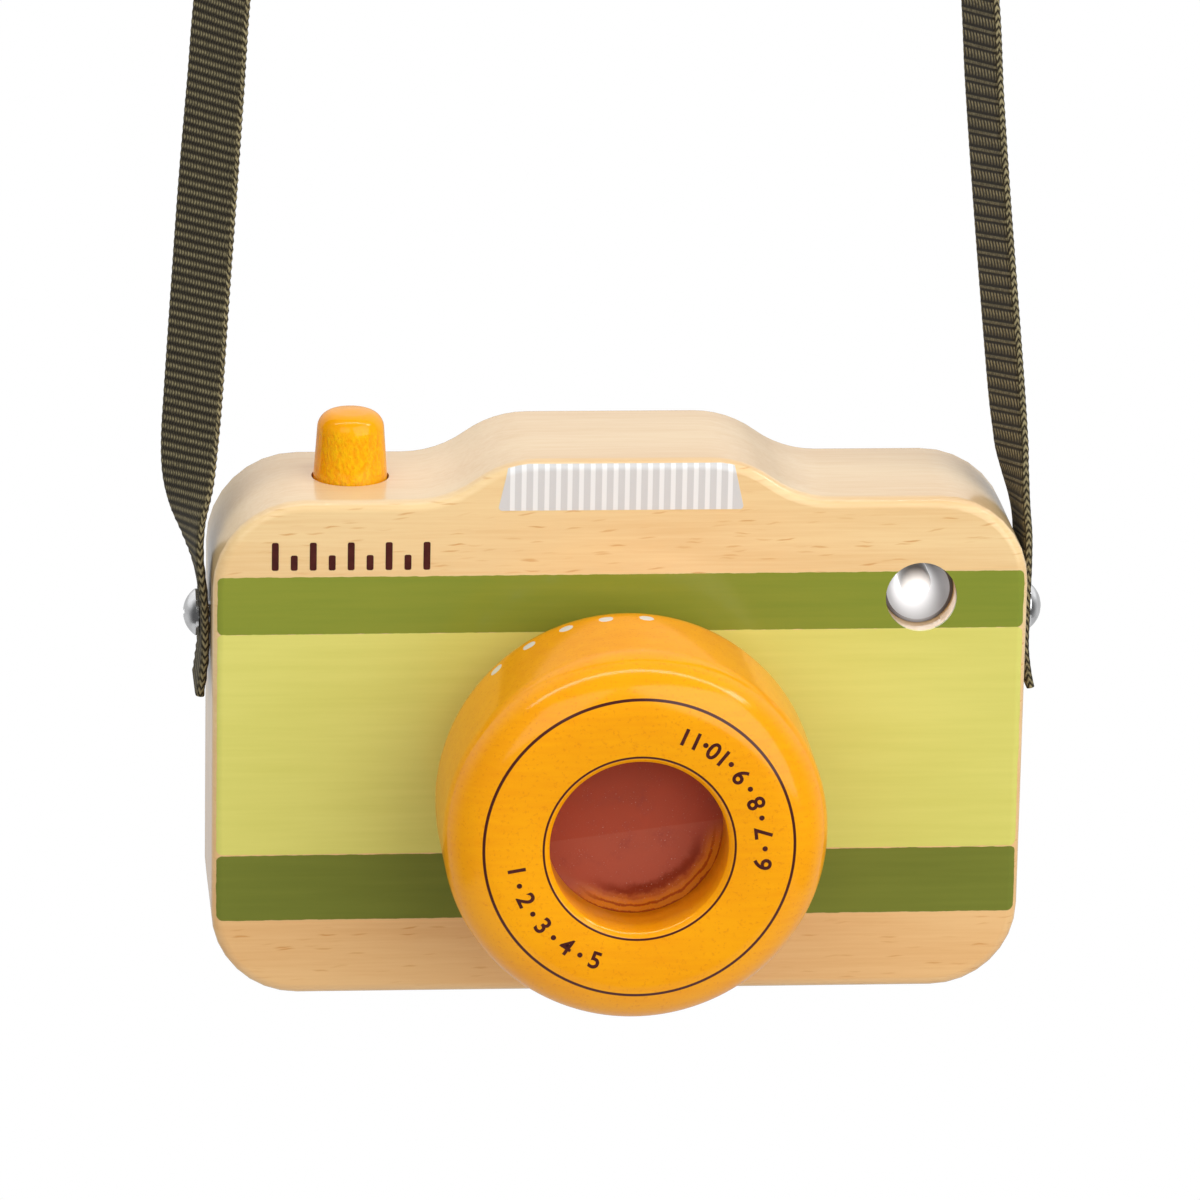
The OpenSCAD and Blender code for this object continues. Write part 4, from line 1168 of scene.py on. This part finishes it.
# Inner pieces keep their solids and get a finish
brassFinish = makeTexturedFinish("brassStrip", (0.76, 0.58, 0.24, 1), (0.62, 0.45, 0.17, 1), 1, 0.005,
                                 Metallic=1.0, Roughness=0.3)
boardFinish = makeTexturedFinish("boardGreen", (0.03, 0.2, 0.07, 1), (0.02, 0.14, 0.05, 1), 1.5, 0.01,
                                 **{"Roughness": 0.35, "Coat Weight": 0.4})
redFinish = makeTexturedFinish("redWire", (0.5, 0.03, 0.025, 1), (0.38, 0.02, 0.02, 1), 1, 0.01,
                               Roughness=0.45)
innerFinishes = {
    darkPlastic: ("battery_case", "board_parts", "push_switch", "button_washer", "switch_wires"),
    nickelFinish: ("board_screws", "battery_cells", "button_screw", "button_bracket", "bracket_screws",
                   "snap_ring"),
    brassFinish: ("battery_contacts",),
    boardFinish: ("circuit_board",),
    redFinish: ("battery_wires",),
}
for finish, nodes in innerFinishes.items():
    for node in nodes:
        frame["nodes"][node].data.materials.clear()
        frame["nodes"][node].data.materials.append(finish)
print("block, back and inner pieces finished")


# Plain pale floor well below the hanging camera, and soft studio light.
# Polished surfaces mirror surroundings that are dim in front and bright behind.
studio = {
    "floor": -1.4,
    "floorSize": 4.4,
    "floorColour": (0.9, 0.9, 0.9, 1),
    "floorGlow": 0.7,
    "worldForObject": 0.5,
    "mirrorAhead": 0.1,
    "mirrorBeside": 0.58,
    "mirrorBehind": 1.0,
    "riseReach": (0.0, 0.26),
    "behindReach": (-0.2, 0.5),
    "lights": {
        "key": {"place": (0.8, -1.15, 0.6), "size": (1.5, 1.5), "power": 13.5},
        "strip": {"place": (0, -0.2, 1.0), "size": (1.9, 0.06), "power": 3.8},
        "fill": {"place": (-0.6, -1.25, 0.75), "size": (0.9, 0.9), "power": 3.2},
        "side": {"place": (0.85, -0.16, 0.85), "size": (0.22, 0.16), "power": 0.9},
        "rear": {"place": (-0.5, 1.5, 0.8), "size": (1.2, 1.2), "power": 7.0, "mirrored": False},
    },
    "aim": (0, -0.02, 0.045),
}


# One where the camera looks straight at the surface, or through glass
def seenDirectly(path):
    return larger(path["Is Camera Ray"], path["Is Transmission Ray"])


def makeStudio(settings):
    world = bpy.data.worlds.new("paleStudio")
    world.use_nodes = True
    scene.world = world
    tree = world.node_tree
    background = tree.nodes["Background"]
    background.inputs["Color"].default_value = (1, 1, 1, 1)
    path = tree.nodes.new("ShaderNodeLightPath").outputs
    way = split(tree.nodes.new("ShaderNodeTexCoord").outputs["Generated"])
    back = spread(way[2], *settings["riseReach"], settings["mirrorBeside"], settings["mirrorBehind"])
    behind = spread(way[1], *settings["behindReach"])
    mirrored = blendValue(behind, settings["mirrorAhead"], back)
    unseen = blendValue(path["Is Glossy Ray"], settings["worldForObject"], mirrored)
    plug(background.inputs["Strength"], blendValue(seenDirectly(path), unseen, 1.0))
    bm = bmesh.new()
    bmesh.ops.create_grid(bm, x_segments=8, y_segments=8, size=settings["floorSize"] / 2)
    bmesh.ops.translate(bm, vec=(0, 0, settings["floor"]), verts=bm.verts)
    mesh = bpy.data.meshes.new("floor")
    bm.to_mesh(mesh)
    bm.free()
    floor = bpy.data.objects.new("floor", mesh)
    scene.collection.objects.link(floor)
    finish, tree, shader = newFinish("paleFloor", **{
        "Base Color": settings["floorColour"], "Roughness": 0.9, "Emission Color": (1, 1, 1, 1)})
    path = tree.nodes.new("ShaderNodeLightPath").outputs
    glow = times(seenDirectly(path), settings["floorGlow"])
    plug(shader.inputs["Emission Strength"], glow)
    mesh.materials.append(finish)
    for name, values in settings["lights"].items():
        light = bpy.data.lights.new(name + "Light", "AREA")
        light.shape = "RECTANGLE"
        light.size, light.size_y = values["size"]
        light.energy = values["power"]
        holder = bpy.data.objects.new(name + "Light", light)
        holder.visible_glossy = values.get("mirrored", True)
        holder.location = values["place"]
        aim = Vector(settings["aim"]) - holder.location
        holder.rotation_euler = aim.to_track_quat("-Z", "Y").to_euler()
        holder.visible_camera = False
        scene.collection.objects.link(holder)


makeStudio(studio)
print("studio lit")
